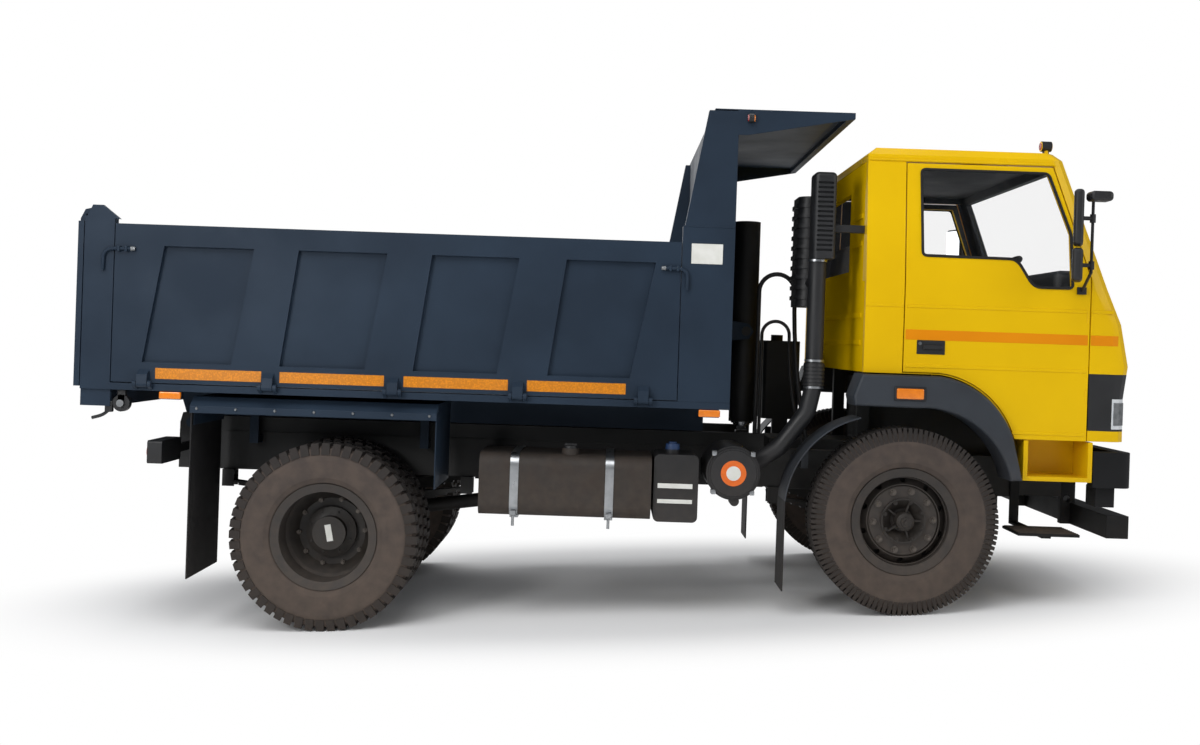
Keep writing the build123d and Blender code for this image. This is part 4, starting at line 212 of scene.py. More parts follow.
def surface(name, colours, patch_mm, rough, bump_mm=2.0, bump=0.05, dust=None, specular=0.5, coat=None,
            **shader):
    """A finish of two mixed colours with patches, wandering roughness, bump and a veil of dust.

    dust is (height where it ends in m, amount at the ground), coat is the roughness of a clear coat, and
    shader holds other constants of the shader.
    """
    made = bpy.data.materials.new(name)
    made.use_nodes = True
    tree = made.node_tree
    tree.nodes.clear()
    place = add_node(tree, "TexCoord").outputs["Object"]

    def noise(size_mm, detail):
        found = add_node(tree, "TexNoise", {"Vector": place, "Scale": 1 / (size_mm * MM), "Detail": detail})
        return found.outputs["Fac"]

    patches = noise(patch_mm, 5.0)
    spread = add_node(tree, "MapRange", {"Value": patches, "From Min": 0.35, "From Max": 0.65}).outputs[0]
    colour = add_node(tree, "Mix", {0: spread, 6: srgb(colours[0]), 7: srgb(colours[1])},
                      data_type="RGBA").outputs[2]
    roughness = add_node(tree, "MapRange", {
        "Value": patches, "From Min": 0.3, "From Max": 0.7, "To Min": rough[0], "To Max": rough[1],
    }).outputs[0]
    if dust:
        height = add_node(tree, "SeparateXYZ", {"Vector": place}).outputs["Z"]
        veil = add_node(tree, "MapRange", {
            "Value": height, "From Min": 0.0, "From Max": dust[0], "To Min": dust[1], "To Max": 0.0,
        }).outputs[0]
        specks = noise(DUST_SPECK_MM, 8.0)
        thin = add_node(tree, "Math", {0: veil, 1: specks}, operation="MULTIPLY").outputs[0]
        amount = add_node(tree, "Math", {0: thin, 1: DUST_GAIN}, operation="MULTIPLY",
                          use_clamp=True).outputs[0]
        colour = add_node(tree, "Mix", {0: amount, 6: colour, 7: DUST}, data_type="RGBA").outputs[2]
        roughness = add_node(tree, "Mix", {0: amount, 2: roughness, 3: DUST_ROUGHNESS}).outputs[0]
    relief = {"Height": noise(bump_mm, 3.0), "Strength": bump, "Distance": BUMP_DEPTH}
    inputs = {"Base Color": colour, "Roughness": roughness, "Specular IOR Level": specular, **shader}
    inputs["Normal"] = add_node(tree, "Bump", relief).outputs[0]
    if coat is not None:
        inputs.update({"Coat Weight": 1.0, "Coat Roughness": coat})
    shaded = add_node(tree, "BsdfPrincipled", inputs)
    add_node(tree, "OutputMaterial", {"Surface": shaded.outputs[0]})
    return made


# %% [markdown]
# The cab is sprayed enamel: gloss over a smooth colour coat. The bed is a tougher satin paint rolled on
# thick, with a slight orange peel. The frame is black chassis paint, and the plastics are moulded with
# a fine grain. Rubber carries the dust. The colours are those of the real pieces under plain light.

# %% Paints, plastics and rubber
yellow_enamel = surface("yellow enamel, sprayed", ("#e2b705", "#d9ad00"),
                        900, (0.26, 0.34), 1.5, 0.015, (0.9, 0.25), specular=0.16)
yellow_matt = surface("yellow enamel, weathered matt", ("#e2b705", "#d6ab00"),
                      900, (0.6, 0.7), 1.5, 0.015, specular=0.0)
slate_paint = surface("slate paint, satin", ("#273341", "#212c39"),
                      420, (0.4, 0.55), 2.5, 0.05, (0.9, 0.15), specular=0.12)
chassis_black = surface("chassis black, satin", ("#0d0e0f", "#131415"),
                        240, (0.45, 0.7), 3.0, 0.06, (1.0, 0.14))
bumper_black = surface("bumper black, powder coat", ("#0d0e10", "#131416"),
                       300, (0.5, 0.62), 1.5, 0.08, (0.7, 0.1), specular=0.25)
flare_plastic = surface("flare plastic, grained", ("#2a3038", "#23282f"),
                        260, (0.5, 0.66), 1.2, 0.12, (1.0, 0.3))
black_plastic = surface("black plastic, grained", ("#141517", "#1b1c1f"),
                        180, (0.42, 0.6), 1.2, 0.12, (1.0, 0.3))
tank_plastic = surface("tank plastic, rotomoulded", ("#1b1613", "#271f1a"),
                       130, (0.6, 0.8), 2.0, 0.15, (1.2, 0.4))
dash_plastic = surface("dash plastic, grained", ("#2b2d30", "#333538"), 160, (0.55, 0.68), 1.2, 0.12)
flap_rubber = surface("flap rubber, moulded", ("#0f0f11", "#161516"), 160, (0.7, 0.85), 3.0, 0.2, (0.9, 0.12))
tyre_rubber = surface("tyre rubber, dusty", ("#3b332f", "#4b413b"), 70, (0.82, 0.95), 4.0, 0.25, (1.1, 0.30))
tread_rubber = surface("tread rubber, worn dark", ("#211d1b", "#2b2624"),
                       60, (0.8, 0.95), 4.0, 0.25, (1.05, 0.15))
rim_paint = surface("rim paint, grey and dusty", ("#242221", "#302c2a"),
                    90, (0.55, 0.8), 3.0, 0.12, (1.1, 0.3))
# The hub's dark finish also serves as painted shade in the recessed middles of the wheels
hub_black_and_painted_shade = surface("hub black, oily, with painted shade", ("#141312", "#1d1a18"), 60, (0.4, 0.65), 3.0, 0.12, (1.1, 0.2))
hose_rubber = surface("hose rubber, black", ("#121214", "#1a1a1c"), 60, (0.45, 0.6), 2.0, 0.1)
engine_iron = surface("engine iron, cast", ("#191a1b", "#232423"), 90, (0.6, 0.8), 3.0, 0.3, (1.0, 0.12))
stripe_orange = surface("stripe vinyl, orange", ("#e08a08", "#d98202"),
                        500, (0.3, 0.4), 1.5, 0.02, specular=0.16)
# The amber lenses carry a faint painted glow, an emission of their own colour
amber_lens_painted_glow = surface("amber lens, moulded, painted glow", ("#e07c0c", "#d06e08"), 40, (0.12, 0.2), 6.0, 0.5, coat=0.05,
                     **{"Emission Color": srgb("#e07c0c"), "Emission Strength": 0.12})
red_lens = surface("red lens, moulded", ("#9c1410", "#86100c"), 40, (0.12, 0.2), 6.0, 0.5, coat=0.05)
label_white = surface("label film, white", ("#d9d9d4", "#cfcfc8"), 60, (0.4, 0.5), 1.5, 0.03)
label_orange = surface("label film, orange", ("#e06a1a", "#d46014"), 60, (0.4, 0.5), 1.5, 0.03)
cap_blue = surface("filler cap plastic, blue", ("#1d3c66", "#18335a"), 40, (0.45, 0.6), 1.2, 0.1, (1.0, 0.3))

# %% [markdown]
# Bare metals keep their own reflection colour. The hoist's stages are ground steel, the tank straps are
# rolled stainless steel, and the mirrors are silvered glass. The window panes are clear and a little
# dark, as tinted safety glass looks from outside, and the lamps have a clear moulded cover.

# %% Metals, glass and lamps
bright_steel = surface("stainless steel, rolled", ("#b9bcbf", "#a3a6a9"),
                       60, (0.25, 0.42), 2.0, 0.05, (1.0, 0.2), Metallic=1.0)
ground_steel = surface("hoist steel, ground", ("#c4c6c8", "#b6b8ba"),
                       90, (0.12, 0.22), 2.0, 0.02, Metallic=1.0)
zinc_steel = surface("bolt steel, zinc plated", ("#8e9092", "#777a7c"),
                     30, (0.35, 0.55), 2.0, 0.08, (1.0, 0.3), Metallic=1.0)
nut_steel = surface("wheel nut steel, worn", ("#6a645e", "#57514c"),
                    25, (0.4, 0.6), 2.0, 0.1, (1.0, 0.15), Metallic=0.6)
mirror_glass = surface("mirror glass, silvered", ("#d6dade", "#d0d4d8"),
                       90, (0.03, 0.05), 2.0, 0.0, Metallic=1.0)
window_glass = surface("window glass, tinted", ("#20292c", "#1d2629"),
                       400, (0.02, 0.04), 2.0, 0.0, Alpha=0.03)
clear_lens = surface("lamp cover, clear", ("#d5d8da", "#c8ccd0"), 60, (0.05, 0.1), 9.0, 0.4, coat=0.03)


def honeycomb_tape(name, colour, line_colour, cell_mm):
    """Retroreflective tape: cells of clear film over colour, drawn wide enough to show."""
    made = surface(name, (colour, colour), 300, (0.28, 0.38), 1.5, 0.02)
    tree = made.node_tree
    shaded = next(n for n in tree.nodes if n.type == "BSDF_PRINCIPLED")
    place = add_node(tree, "TexCoord").outputs["Object"]
    cells = add_node(tree, "TexVoronoi", {"Vector": place, "Scale": 1 / (cell_mm * MM), "Randomness": 0.15},
                     feature="DISTANCE_TO_EDGE").outputs["Distance"]
    line = add_node(tree, "MapRange", {"Value": cells, "From Min": 0.02, "From Max": 0.09}).outputs[0]
    mixed = add_node(tree, "Mix", {0: line, 6: srgb(line_colour), 7: srgb(colour)}, data_type="RGBA")
    tree.links.new(mixed.outputs[2], shaded.inputs["Base Color"])
    return made


WAVE_TURNS = 3.2               # a wave texture of scale one repeats about this often in a metre


def woven_cloth(name, colours, thread_mm):
    """Seat cloth: two crossed sets of threads, drawn a little coarse so that they show."""
    made = surface(name, colours, 120, (0.85, 0.95), 2.0, 0.0, **{"Sheen Weight": 0.3})
    tree = made.node_tree
    bump = next(n for n in tree.nodes if n.type == "BUMP")
    place = add_node(tree, "TexCoord").outputs["Object"]
    weave = None
    for direction in ("Y", "Z"):
        threads = add_node(tree, "TexWave", {"Vector": place, "Scale": 1 / (thread_mm * MM * WAVE_TURNS)},
                           bands_direction=direction)
        weave = threads.outputs["Fac"] if weave is None else add_node(
            tree, "Math", {0: weave, 1: threads.outputs["Fac"]}, operation="MAXIMUM").outputs[0]
    tree.links.new(weave, bump.inputs["Height"])
    bump.inputs["Strength"].default_value = 0.4
    return made


orange_tape = honeycomb_tape("reflective tape, orange", "#d98507", "#bb7004", 9.0)
seat_cloth = woven_cloth("seat cloth, woven", ("#24262a", "#2e3035"), 6.0)
print("materials", len(bpy.data.materials))

# The finish of each solid by the slot that the record gives it, and the solids that differ from their slot
FINISH_OF_SLOT = {
    "black_frame_paint": chassis_black,
    "slate_body_paint": slate_paint,
    "yellow_cab_paint": yellow_enamel,
    "engine_iron": engine_iron,
    "tyre": tyre_rubber,
    "rim_steel": rim_paint,
    "hoist_rod_steel": ground_steel,
    "black_plastic": black_plastic,
    "rubber": flap_rubber,
    "lamp_clear": clear_lens,
    "lamp_red": red_lens,
    "seat_cloth": seat_cloth,
    "window_glass": window_glass,
}
FINISH_OF_NODE = {
    "front_bumper": bumper_black,
    "fuel_tank": tank_plastic,
    "tank_brackets": bright_steel,
    "wheel_arches": flare_plastic,
    "rear_mudguards": slate_paint,
    "dashboard": dash_plastic,
    "tail_lamps": black_plastic,
    "cab_rear_wall": yellow_matt,
}

# %% [markdown]
# Real sheet metal has no knife edges: every fold and cut has a small radius that catches a thin line of
# light. The solids have sharp edges, so each one gets a merged copy whose sharp edges are bevelled by a
# few millimetres. Weighted normals then keep the big flat faces flat while the small ones turn.

# %% Break the edges of the solids
EDGE_ANGLE = math.radians(24)
SHARP_ANGLE = math.radians(40)
MERGE_MM = 0.02
MOST_LOSS = 0.06               # a bevel that changes more of a solid's volume than this is reported
EDGES = (
    # how much of a solid's edges is broken, in mm, where it isn't the usual size
    (1.5, ("rear_mudguards",)),
    (2.0, ("mud_flaps",)),
    (3.0, ("fuel_tank", "bed_frame", "wheel_arches")),
    (4.0, ("cab_sides", "cab_rear_wall", "door_left", "door_right")),
    (5.0, ("cab_front", "side_board_left", "side_board_right", "tailgate", "battery_box")),
    (7.0, ("cab_roof", "front_bumper")),
    (12.0, ("dashboard", "engine_block")),
)
EDGE_MM = {node: width for width, nodes in EDGES for node in nodes}
USUAL_EDGE_MM = 2.5
LEFT_AS_CAST = ("seats", "front_tyre_left", "front_tyre_right", "rear_tyres_left", "rear_tyres_right")
PANES = ("cab_glass", "door_glass_left", "door_glass_right")
CAB_PANELS = ("cab_roof", "cab_front", "cab_sides", "cab_rear_wall", "door_left", "door_right", "cab_floor")
CAB_MIDDLE = RAILS @ Vector((3500, 0, 1550))
CAB_HALF = 1040
CAB_BACK = 2890
CAB_Z = (680, 2222)
BELT = 1489
LEAN = 60 / 693
RAILS_INVERSE = RAILS.inverted()
TRIM_DEPTH = 30


def skin(z, proud=0):
    """Half the cab's width at a height, leaning in above the belt, plus how far a piece stands proud."""
    return CAB_HALF + proud - max(0, z - BELT) * LEAN


def is_inside_cab(point):
    """Whether a point is on the inner face of a cab wall and not on the painted outside."""
    x, y, z = RAILS_INVERSE @ point
    within = x > CAB_BACK + TRIM_DEPTH and abs(y) < skin(z) - TRIM_DEPTH
    return within and CAB_Z[0] < z < CAB_Z[1] - TRIM_DEPTH


def paint(faces, material):
    """Gives faces one of their piece's finishes."""
    for face in faces:
        face.material_index = material


def shade(shape):
    """Shades a shape smooth, apart from its sharp edges."""
    for face in shape.faces:
        face.smooth = True
    for edge in shape.edges:
        edge.smooth = not (edge.is_manifold and edge.calc_face_angle() > SHARP_ANGLE)


def finish_object(name, mesh, body, finishes):
    """Links a finished mesh as a piece that rides on a body."""
    for finish in finishes:
        mesh.materials.append(finish)
    made = bpy.data.objects.new(name, mesh)
    scene.collection.objects.link(made)
    weigh = made.modifiers.new("weighted normals", "WEIGHTED_NORMAL")
    weigh.keep_sharp = True
    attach(made, body)
    return made


def softened(node, width_mm):
    """A merged copy of a solid's mesh with its sharp edges bevelled."""
    shape = bmesh.new()
    shape.from_mesh(frame["nodes"][node].data)
    bmesh.ops.remove_doubles(shape, verts=shape.verts, dist=MERGE_MM * MM)
    volume = shape.calc_volume()
    sharp = [e for e in shape.edges if e.is_manifold and e.calc_face_angle() > EDGE_ANGLE]
    bmesh.ops.bevel(shape, geom=sharp, offset=width_mm * MM, offset_type="OFFSET", affect="EDGES", segments=2,
                    profile=0.5, material=-1, clamp_overlap=True)
    bmesh.ops.dissolve_degenerate(shape, dist=MERGE_MM * MM, edges=shape.edges)
    share = shape.calc_volume() / volume
    if abs(share - 1) > MOST_LOSS:
        print("bevel changes the volume of", node, round(share, 3))
    shade(shape)
    if node in CAB_PANELS:
        for face in shape.faces:
            middle = face.calc_center_median()
            inwards = (CAB_MIDDLE - middle).dot(face.normal)
            face.material_index = 1 if inwards > 0 and is_inside_cab(middle) else 0
    mesh = bpy.data.meshes.new(node + "_dressed")
    shape.to_mesh(mesh)
    shape.free()
    return mesh


dressed = {}
for node, solid in frame["nodes"].items():
    finish = FINISH_OF_NODE.get(node, FINISH_OF_SLOT[slot_of_node[node]])
    if node in LEFT_AS_CAST:
        continue
    if node in PANES or node.startswith("hoist_stage"):
        for holder in solid.material_slots:
            holder.material = finish
        continue
    mesh = softened(node, EDGE_MM.get(node, USUAL_EDGE_MM))
    dressed[node] = finish_object(node + "_dressed", mesh, body_of_node[node],
                                  [finish, dash_plastic])
    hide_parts(node)
triangles = sum(len(p.vertices) - 2 for o in dressed.values() for p in o.data.polygons)
print("dressed solids", len(dressed), "triangles", triangles)

# %% [markdown]
# The small pieces are made in millimetres along the rails, by a few helpers: a block with rounded edges,
# a prism, a turned rod or disc between two points, and a tube through a run of points. Each adds to a
# bmesh, and the finished bmesh is turned into the truck's frame in one go.

# %% Helpers for the small pieces
def block(shape, low, high, radius, material=0, segments=2):
    """A block between two corners with its edges rounded."""
    before = set(shape.faces)
    low, high = Vector(low), Vector(high)
    place = Matrix.LocRotScale((low + high) / 2, None, high - low)
    made = bmesh.ops.create_cube(shape, size=1.0, matrix=place)
    edges = list({e for v in made["verts"] for e in v.link_edges})
    bmesh.ops.bevel(shape, geom=edges, offset=radius, offset_type="OFFSET", affect="EDGES", segments=segments,
                    profile=0.5, material=-1, clamp_overlap=True)
    paint(set(shape.faces) - before, material)


def side_block(shape, side, x, y, z, radius, material=0, segments=2):
    """A rounded block on one side of the truck, its y bounds given as distances from the middle."""
    low, high = sorted((side * y[0], side * y[1]))
    block(shape, (x[0], low, z[0]), (x[1], high, z[1]), radius, material, segments)


def prism(shape, corners, low, high, material=0):
    """A prism over a foot of (x, y) corners, from one height to another. Returns its foot and top."""
    before = set(shape.faces)
    foot = [shape.verts.new((x, y, low)) for x, y in corners]
    raised = bmesh.ops.extrude_face_region(shape, geom=[shape.faces.new(foot)])
    top = [v for v in raised["geom"] if isinstance(v, bmesh.types.BMVert)]
    bmesh.ops.translate(shape, verts=top, vec=(0, 0, high - low))
    made = list(set(shape.faces) - before)
    paint(made, material)
    bmesh.ops.recalc_face_normals(shape, faces=made)
    return foot, top


def turned(shape, start, end, radius, end_radius=None, material=0, segments=24):
    """A rod, disc or cone from one point to another."""
    before = set(shape.faces)
    start, end = Vector(start), Vector(end)
    run = end - start
    place = Matrix.Translation((start + end) / 2) @ run.to_track_quat("Z", "Y").to_matrix().to_4x4()
    end_radius = radius if end_radius is None else end_radius
    bmesh.ops.create_cone(shape, cap_ends=True, segments=segments, radius1=radius, radius2=end_radius,
                          depth=run.length, matrix=place)
    paint(set(shape.faces) - before, material)


def tube(shape, points, radius, material=0, segments=12):
    """A round tube through a run of points, with closed ends."""
    points = [Vector(p) for p in points]
    before = set(shape.faces)
    last = None
    for k, point in enumerate(points):
        ahead = points[min(k + 1, len(points) - 1)] - points[max(k - 1, 0)]
        place = Matrix.Translation(point) @ ahead.to_track_quat("Z", "Y").to_matrix().to_4x4()
        ring = bmesh.ops.create_circle(shape, cap_ends=k in (0, len(points) - 1), segments=segments,
                                       radius=radius, matrix=place)
        edges = list({e for v in ring["verts"] for e in v.link_edges if e.other_vert(v) in ring["verts"]})
        if last:
            bmesh.ops.bridge_loops(shape, edges=last + edges)
        last = edges
    made = list(set(shape.faces) - before)
    paint(made, material)
    bmesh.ops.recalc_face_normals(shape, faces=made)


def corner_curve(start, corner, end, steps):
    """Points on a quadratic curve between two points that bends towards a corner."""
    return [start.lerp(corner, t).lerp(corner.lerp(end, t), t) for t in (k / steps for k in range(steps + 1))]


def bend(points, steps=5):
    """The same run of points with each inner corner rounded."""
    points = [Vector(p) for p in points]
    rounded = [points[0]]
    for before, corner, after in zip(points, points[1:], points[2:]):
        rounded += corner_curve(before.lerp(corner, 0.55), corner, corner.lerp(after, 0.45), steps)
    return rounded + [points[-1]]


def piece(name, shape, body, finishes, matrix=RAILS):
    """A finished bmesh, in millimetres along the rails, as a piece that rides on a body."""
    bmesh.ops.transform(shape, matrix=matrix, verts=shape.verts)
    shade(shape)
    mesh = bpy.data.meshes.new(name)
    shape.to_mesh(mesh)
    shape.free()
    return finish_object(name, mesh, body, finishes)


def at_hub(hub):
    """The matrix for a piece given in millimetres from a wheel's hub."""
    return Matrix.Translation(hub) @ Matrix.Scale(MM, 4)


# %% [markdown]
# The tyres are heavy cross-ply ones. The front pair has straight ribs with notched shoulders, and the
# twin rear ones have chunky lugs that run in from each shoulder. A tyre is turned: its section is spun
# about the axle. A lug is made of small tapered blocks, which are copied round the tyre.

# %% Tyres with their tread
TYRE_R = FRONT_HUB.z / MM
TREAD_DEPTH = 17
TREAD_HALF = 104
BULGE_HALF = 126
BEAD_R = 258
SPIN_STEPS = 72
SHOULDER_FROM = 100          # beyond this far from the tyre's middle a block's top leans in
SHOULDER_LEAN = 11
BLOCK_TAPER = (0.9, 0.94, 1)
SIDEWALL = (
    # radius and distance from the tyre's middle, from the bead out to the tread
    (BEAD_R, 84),
    (BEAD_R + 30, 90),
    (BEAD_R + 35, 104),
    (BEAD_R + 42, 113),
    (BEAD_R + 62, 121),
    (BEAD_R + 66, 124.5),
    (BEAD_R + 96, BULGE_HALF),
    (BEAD_R + 104, 124),
    (BEAD_R + 150, 122),
    (BEAD_R + 156, 124.5),
    (BEAD_R + 176, 121.5),
    (BEAD_R + 190, 115),
    (TYRE_R - TREAD_DEPTH - 12, TREAD_HALF + 2),
    (TYRE_R - TREAD_DEPTH, TREAD_HALF - 18),
)


def spun(shape, outline, material=0, steps=SPIN_STEPS):
    """Turns an outline of (radius, across) points once about the axle, the Y axis."""
    before = set(shape.faces)
    verts = [shape.verts.new((0, across, radius)) for radius, across in outline]
    edges = [shape.edges.new(pair) for pair in zip(verts, verts[1:])]
    bmesh.ops.spin(shape, geom=verts + edges, axis=(0, 1, 0), cent=(0, 0, 0), dvec=(0, 0, 0),
                   angle=2 * math.pi, steps=steps, use_merge=True)
    made = list(set(shape.faces) - before)
    paint(made, material)
    bmesh.ops.recalc_face_normals(shape, faces=made)


def tread_block(shape, corners, low, high, material):
    """A tread block: its foot's corners as (mm along the tread, across), from low to high radius."""
    foot, top = prism(shape, corners, low, high, material)
    middle = sum((v.co for v in top), Vector()) / len(top)
    bmesh.ops.scale(shape, verts=top, vec=BLOCK_TAPER, space=Matrix.Translation(-middle))
    for vert in top:
        if abs(vert.co.y) > SHOULDER_FROM:
            vert.co.y -= math.copysign(SHOULDER_LEAN, vert.co.y)
    return foot + top


def copies_round(shape, verts, count):
    """Copies a tread block round the axle so that there are count of them."""
    faces = list({f for v in verts for f in v.link_faces})
    for k in range(1, count):
        made = bmesh.ops.duplicate(shape, geom=faces + verts + list({e for f in faces for e in f.edges}))
        moved = [v for v in made["geom"] if isinstance(v, bmesh.types.BMVert)]
        turn = Matrix.Rotation(2 * math.pi * k / count, 3, "Y")
        bmesh.ops.rotate(shape, verts=moved, cent=(0, 0, 0), matrix=turn)


TREADS = {
    # how many blocks go round a shoulder; the blocks' corners along the tread and across from the
    # tyre's middle, and the radius that each block's foot starts from
    "lugged": (52, (
        (((-23, 122), (22, 122), (22, 98), (-23, 98)), TYRE_R - 62),
        (((-23, 112), (22, 112), (30, 56), (24, 9), (-18, 9), (-14, 56)), TYRE_R - 30),
    )),
    "ribbed": (108, (
        (((-10.5, 121), (10.5, 121), (10.5, 66), (-10.5, 66)), TYRE_R - 74),
    )),
}
FRONT_RIBS = ((-54, -30), (-15, 15), (30, 54))


def tyre(shape, across, lugged):
    """One tyre with its middle at the given distance across the truck, hub at the origin."""
    made = bmesh.new()
    outline = [*SIDEWALL, *[(radius, -half) for radius, half in reversed(SIDEWALL)]]
    spun(made, outline)
    spun(made, [outline[0], outline[-1]])
    bmesh.ops.remove_doubles(made, verts=made.verts, dist=0.05)
    bmesh.ops.recalc_face_normals(made, faces=made.faces)
    low, high = TYRE_R - TREAD_DEPTH - 12, TYRE_R - 1
    count, blocks = TREADS["lugged" if lugged else "ribbed"]
    for side in (1, -1):
        stagger = Matrix.Rotation(0 if side > 0 else math.pi / count, 3, "Y")
        for corners, foot in blocks:
            block_verts = tread_block(made, [(along, side * y) for along, y in corners], foot, high, 1)
            bmesh.ops.rotate(made, verts=block_verts, cent=(0, 0, 0), matrix=stagger)
            copies_round(made, block_verts, count)
    if not lugged:
        for y0, y1 in FRONT_RIBS:
            rib = [(low, y0), (high - 2, y0 + 1), (high, y0 + 4),
                   (high, y1 - 4), (high - 2, y1 - 1), (low, y1)]
            spun(made, rib, 1)
    bmesh.ops.translate(made, verts=made.verts, vec=(0, across, 0))
    mesh = bpy.data.meshes.new("one tyre")
    made.to_mesh(mesh)
    made.free()
    shape.from_mesh(mesh)
    bpy.data.meshes.remove(mesh)


TYRES = (
    # node, body, hub, lugged, how far each tyre's middle is across the truck
    ("front_tyre", "wheel_front", FRONT_HUB, False, (922,)),
    ("rear_tyres", "wheels_rear", REAR_HUB, True, (942, 652)),
)
for node, body, hub, lugged, places in TYRES:
    for side, tag in SIDES:
        shape = bmesh.new()
        for across in places:
            tyre(shape, side * across, lugged)
        made = piece(node + "_" + tag + "_treaded", shape, body + "_" + tag,
                     [tyre_rubber, tread_rubber], at_hub(hub))
        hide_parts(node + "_" + tag)
        print(made.name, len(made.data.polygons), "faces")

# %% [markdown]
# The cab's trim is rubber, film and small castings laid on the panels. Each window has a black seal, an
# orange stripe runs along the door and round the corner of the nose, and soft pressed beads cross the
# panels. The door's handle is a black tray with a pull bar and a lock.

# %% Trim on the doors
DOOR_X = (3111, 4098)
STRIPE_Z = (1175, 1230)
FILM = 1.5
BEAD_H = 9
BEAD_PROUD = 3.5
BEAD_FOOT = 4
CREASE_Z = 1357
BEADS = (
    # where each bead on a door starts, and its height
    (DOOR_X[0] + BEAD_FOOT, CREASE_Z),
    (DOOR_X[0] + BEAD_FOOT, 1033),
    (3705, 690),
)
TRAY_X, TRAY_Z = (3174, 3327), (1098, 1174)
PULL_X, PULL_Z = (3206, 3316), (1124, 1150)
DOOR_LOCK = (3190, 1156)
SEAL_R = 8
SEAL_CORNER = 24
WINDOW = (
    # x and z of the corners of a door's window
    (3182, 2106), (3194, 1634), (3685, 1630), (3718, 1608), (3784, 1500),
    (3818, 1480), (4008, 1480), (3998, 1774), (3874, 2104),
)


def closed_bend(points, radius, steps=4):
    """A closed run of points with each corner rounded."""
    points = [Vector(p) for p in points]
    rounded = []
    for before, corner, after in zip(points[-1:] + points, points, points[1:] + points[:1]):
        start = corner + (before - corner).normalized() * min(radius, 0.45 * (before - corner).length)
        end = corner + (after - corner).normalized() * min(radius, 0.45 * (after - corner).length)
        rounded += corner_curve(start, corner, end, steps)
    return rounded + rounded[:1]


def bead(shape, side, x, z, material=0):
    """A soft pressed bead along a flat panel of the cab."""
    side_block(shape, side, x, (CAB_HALF - BEAD_FOOT, CAB_HALF + BEAD_PROUD), (z - BEAD_H, z + BEAD_H),
               BEAD_PROUD - 0.2, material, 3)


for side, tag in SIDES:
    shape = bmesh.new()
    seal = closed_bend([(x, side * skin(z, 1), z) for x, z in WINDOW], SEAL_CORNER)
    tube(shape, seal, SEAL_R, 0, 8)
    side_block(shape, side, DOOR_X, (CAB_HALF - 2, CAB_HALF + FILM), STRIPE_Z, 1, 1, 1)
    for start, z in BEADS:
        bead(shape, side, (start, DOOR_X[1] - BEAD_FOOT), z, 2)
    side_block(shape, side, TRAY_X, (CAB_HALF - 3, CAB_HALF + 4), TRAY_Z, 3.4, 3)
    side_block(shape, side, PULL_X, (CAB_HALF + 2, CAB_HALF + 17), PULL_Z, 7, 3, 3)
    x, z = DOOR_LOCK
    turned(shape, (x, side * CAB_HALF, z), (x, side * (CAB_HALF + 8), z), 9, material=4)
    piece("door_trim_" + tag, shape, "door_" + tag,
          [flap_rubber, stripe_orange, yellow_enamel, black_plastic, zinc_steel])
print("door trim on", len(SIDES), "doors")

# %% [markdown]
# The rest of the cab's trim stays with the cab: the stripe turns the nose's corner in a facet, a gutter
# runs over the doors, the rear wall has pressed swages, and wipers lie along the foot of the windscreen.

# %% Trim on the cab
QUARTER_X = (2894, 3097)
PILLAR_X = (4114, 4234)
FACET_END = (4266, 1031.5)
SWAGES = (
    # height of each swage, and its ends as distances from the middle
    (1300, (0, 930)),
    (1150, (0, 930)),
    (1700, (600, 900)),
    (1850, (600, 900)),
)
SWAGE_X = (2885, 2894)
SWAGE_HALF = 14
GUTTER_X, GUTTER_Z = (2900, 3905), 2152
WIPER_PIVOT = (640, 1470)
WIPER_BLADE = ((80, 1560), (330, 1551), (590, 1542))
SCREEN_FOOT_X = 4222
SCREEN_SLOPE = 246 / 693


def screen(y, z, proud):
    """A point on the windscreen, which leans back from its foot."""
    return SCREEN_FOOT_X - (z - BELT) * SCREEN_SLOPE + proud, y, z


shape = bmesh.new()
for side, _ in SIDES:
    bead(shape, side, QUARTER_X, CREASE_Z)
    bead(shape, side, PILLAR_X, CREASE_Z)
    side_block(shape, side, PILLAR_X, (CAB_HALF - 2, CAB_HALF + FILM), STRIPE_Z, 1, 1, 1)
    facet = ((PILLAR_X[1] - 1, CAB_HALF - 3), (PILLAR_X[1] - 1, CAB_HALF + FILM),
             (FACET_END[0], FACET_END[1] + FILM), (FACET_END[0], FACET_END[1] - 3))
    prism(shape, [(x, side * y) for x, y in facet], *STRIPE_Z, 1)
    tube(shape, [(x, side * skin(GUTTER_Z, 3), GUTTER_Z) for x in GUTTER_X], 6, 0, 8)
    for z, y in SWAGES:
        side_block(shape, side, SWAGE_X, y, (z - SWAGE_HALF, z + SWAGE_HALF), 4, 3, 3)
    pivot = Vector(screen(side * WIPER_PIVOT[0], WIPER_PIVOT[1], 20))
    heel, middle, tip = (Vector(screen(side * y, z, 16)) for y, z in WIPER_BLADE)
    turned(shape, pivot - Vector((14, 0, 6)), pivot + Vector((8, 0, 4)), 16, 12, material=2)
    tube(shape, [pivot, pivot.lerp(middle, 0.4) + Vector((6, 0, 0)), middle], 6, 2, 8)
    tube(shape, [heel, middle, tip], 8, 2, 8)
piece("cab_trim", shape, "chassis",
      [yellow_enamel, stripe_orange, black_plastic, yellow_matt])

# %% [markdown]
# Lamps and mirrors: a drum lamp stands over each front corner of the roof with an amber lens ahead and a
# red one behind, an amber lamp sits in each flare, and two round lamps shine through each headlamp's cover
# before a bright reflector. The steps get ribs, and the mirrors their silvered plates and clamps.

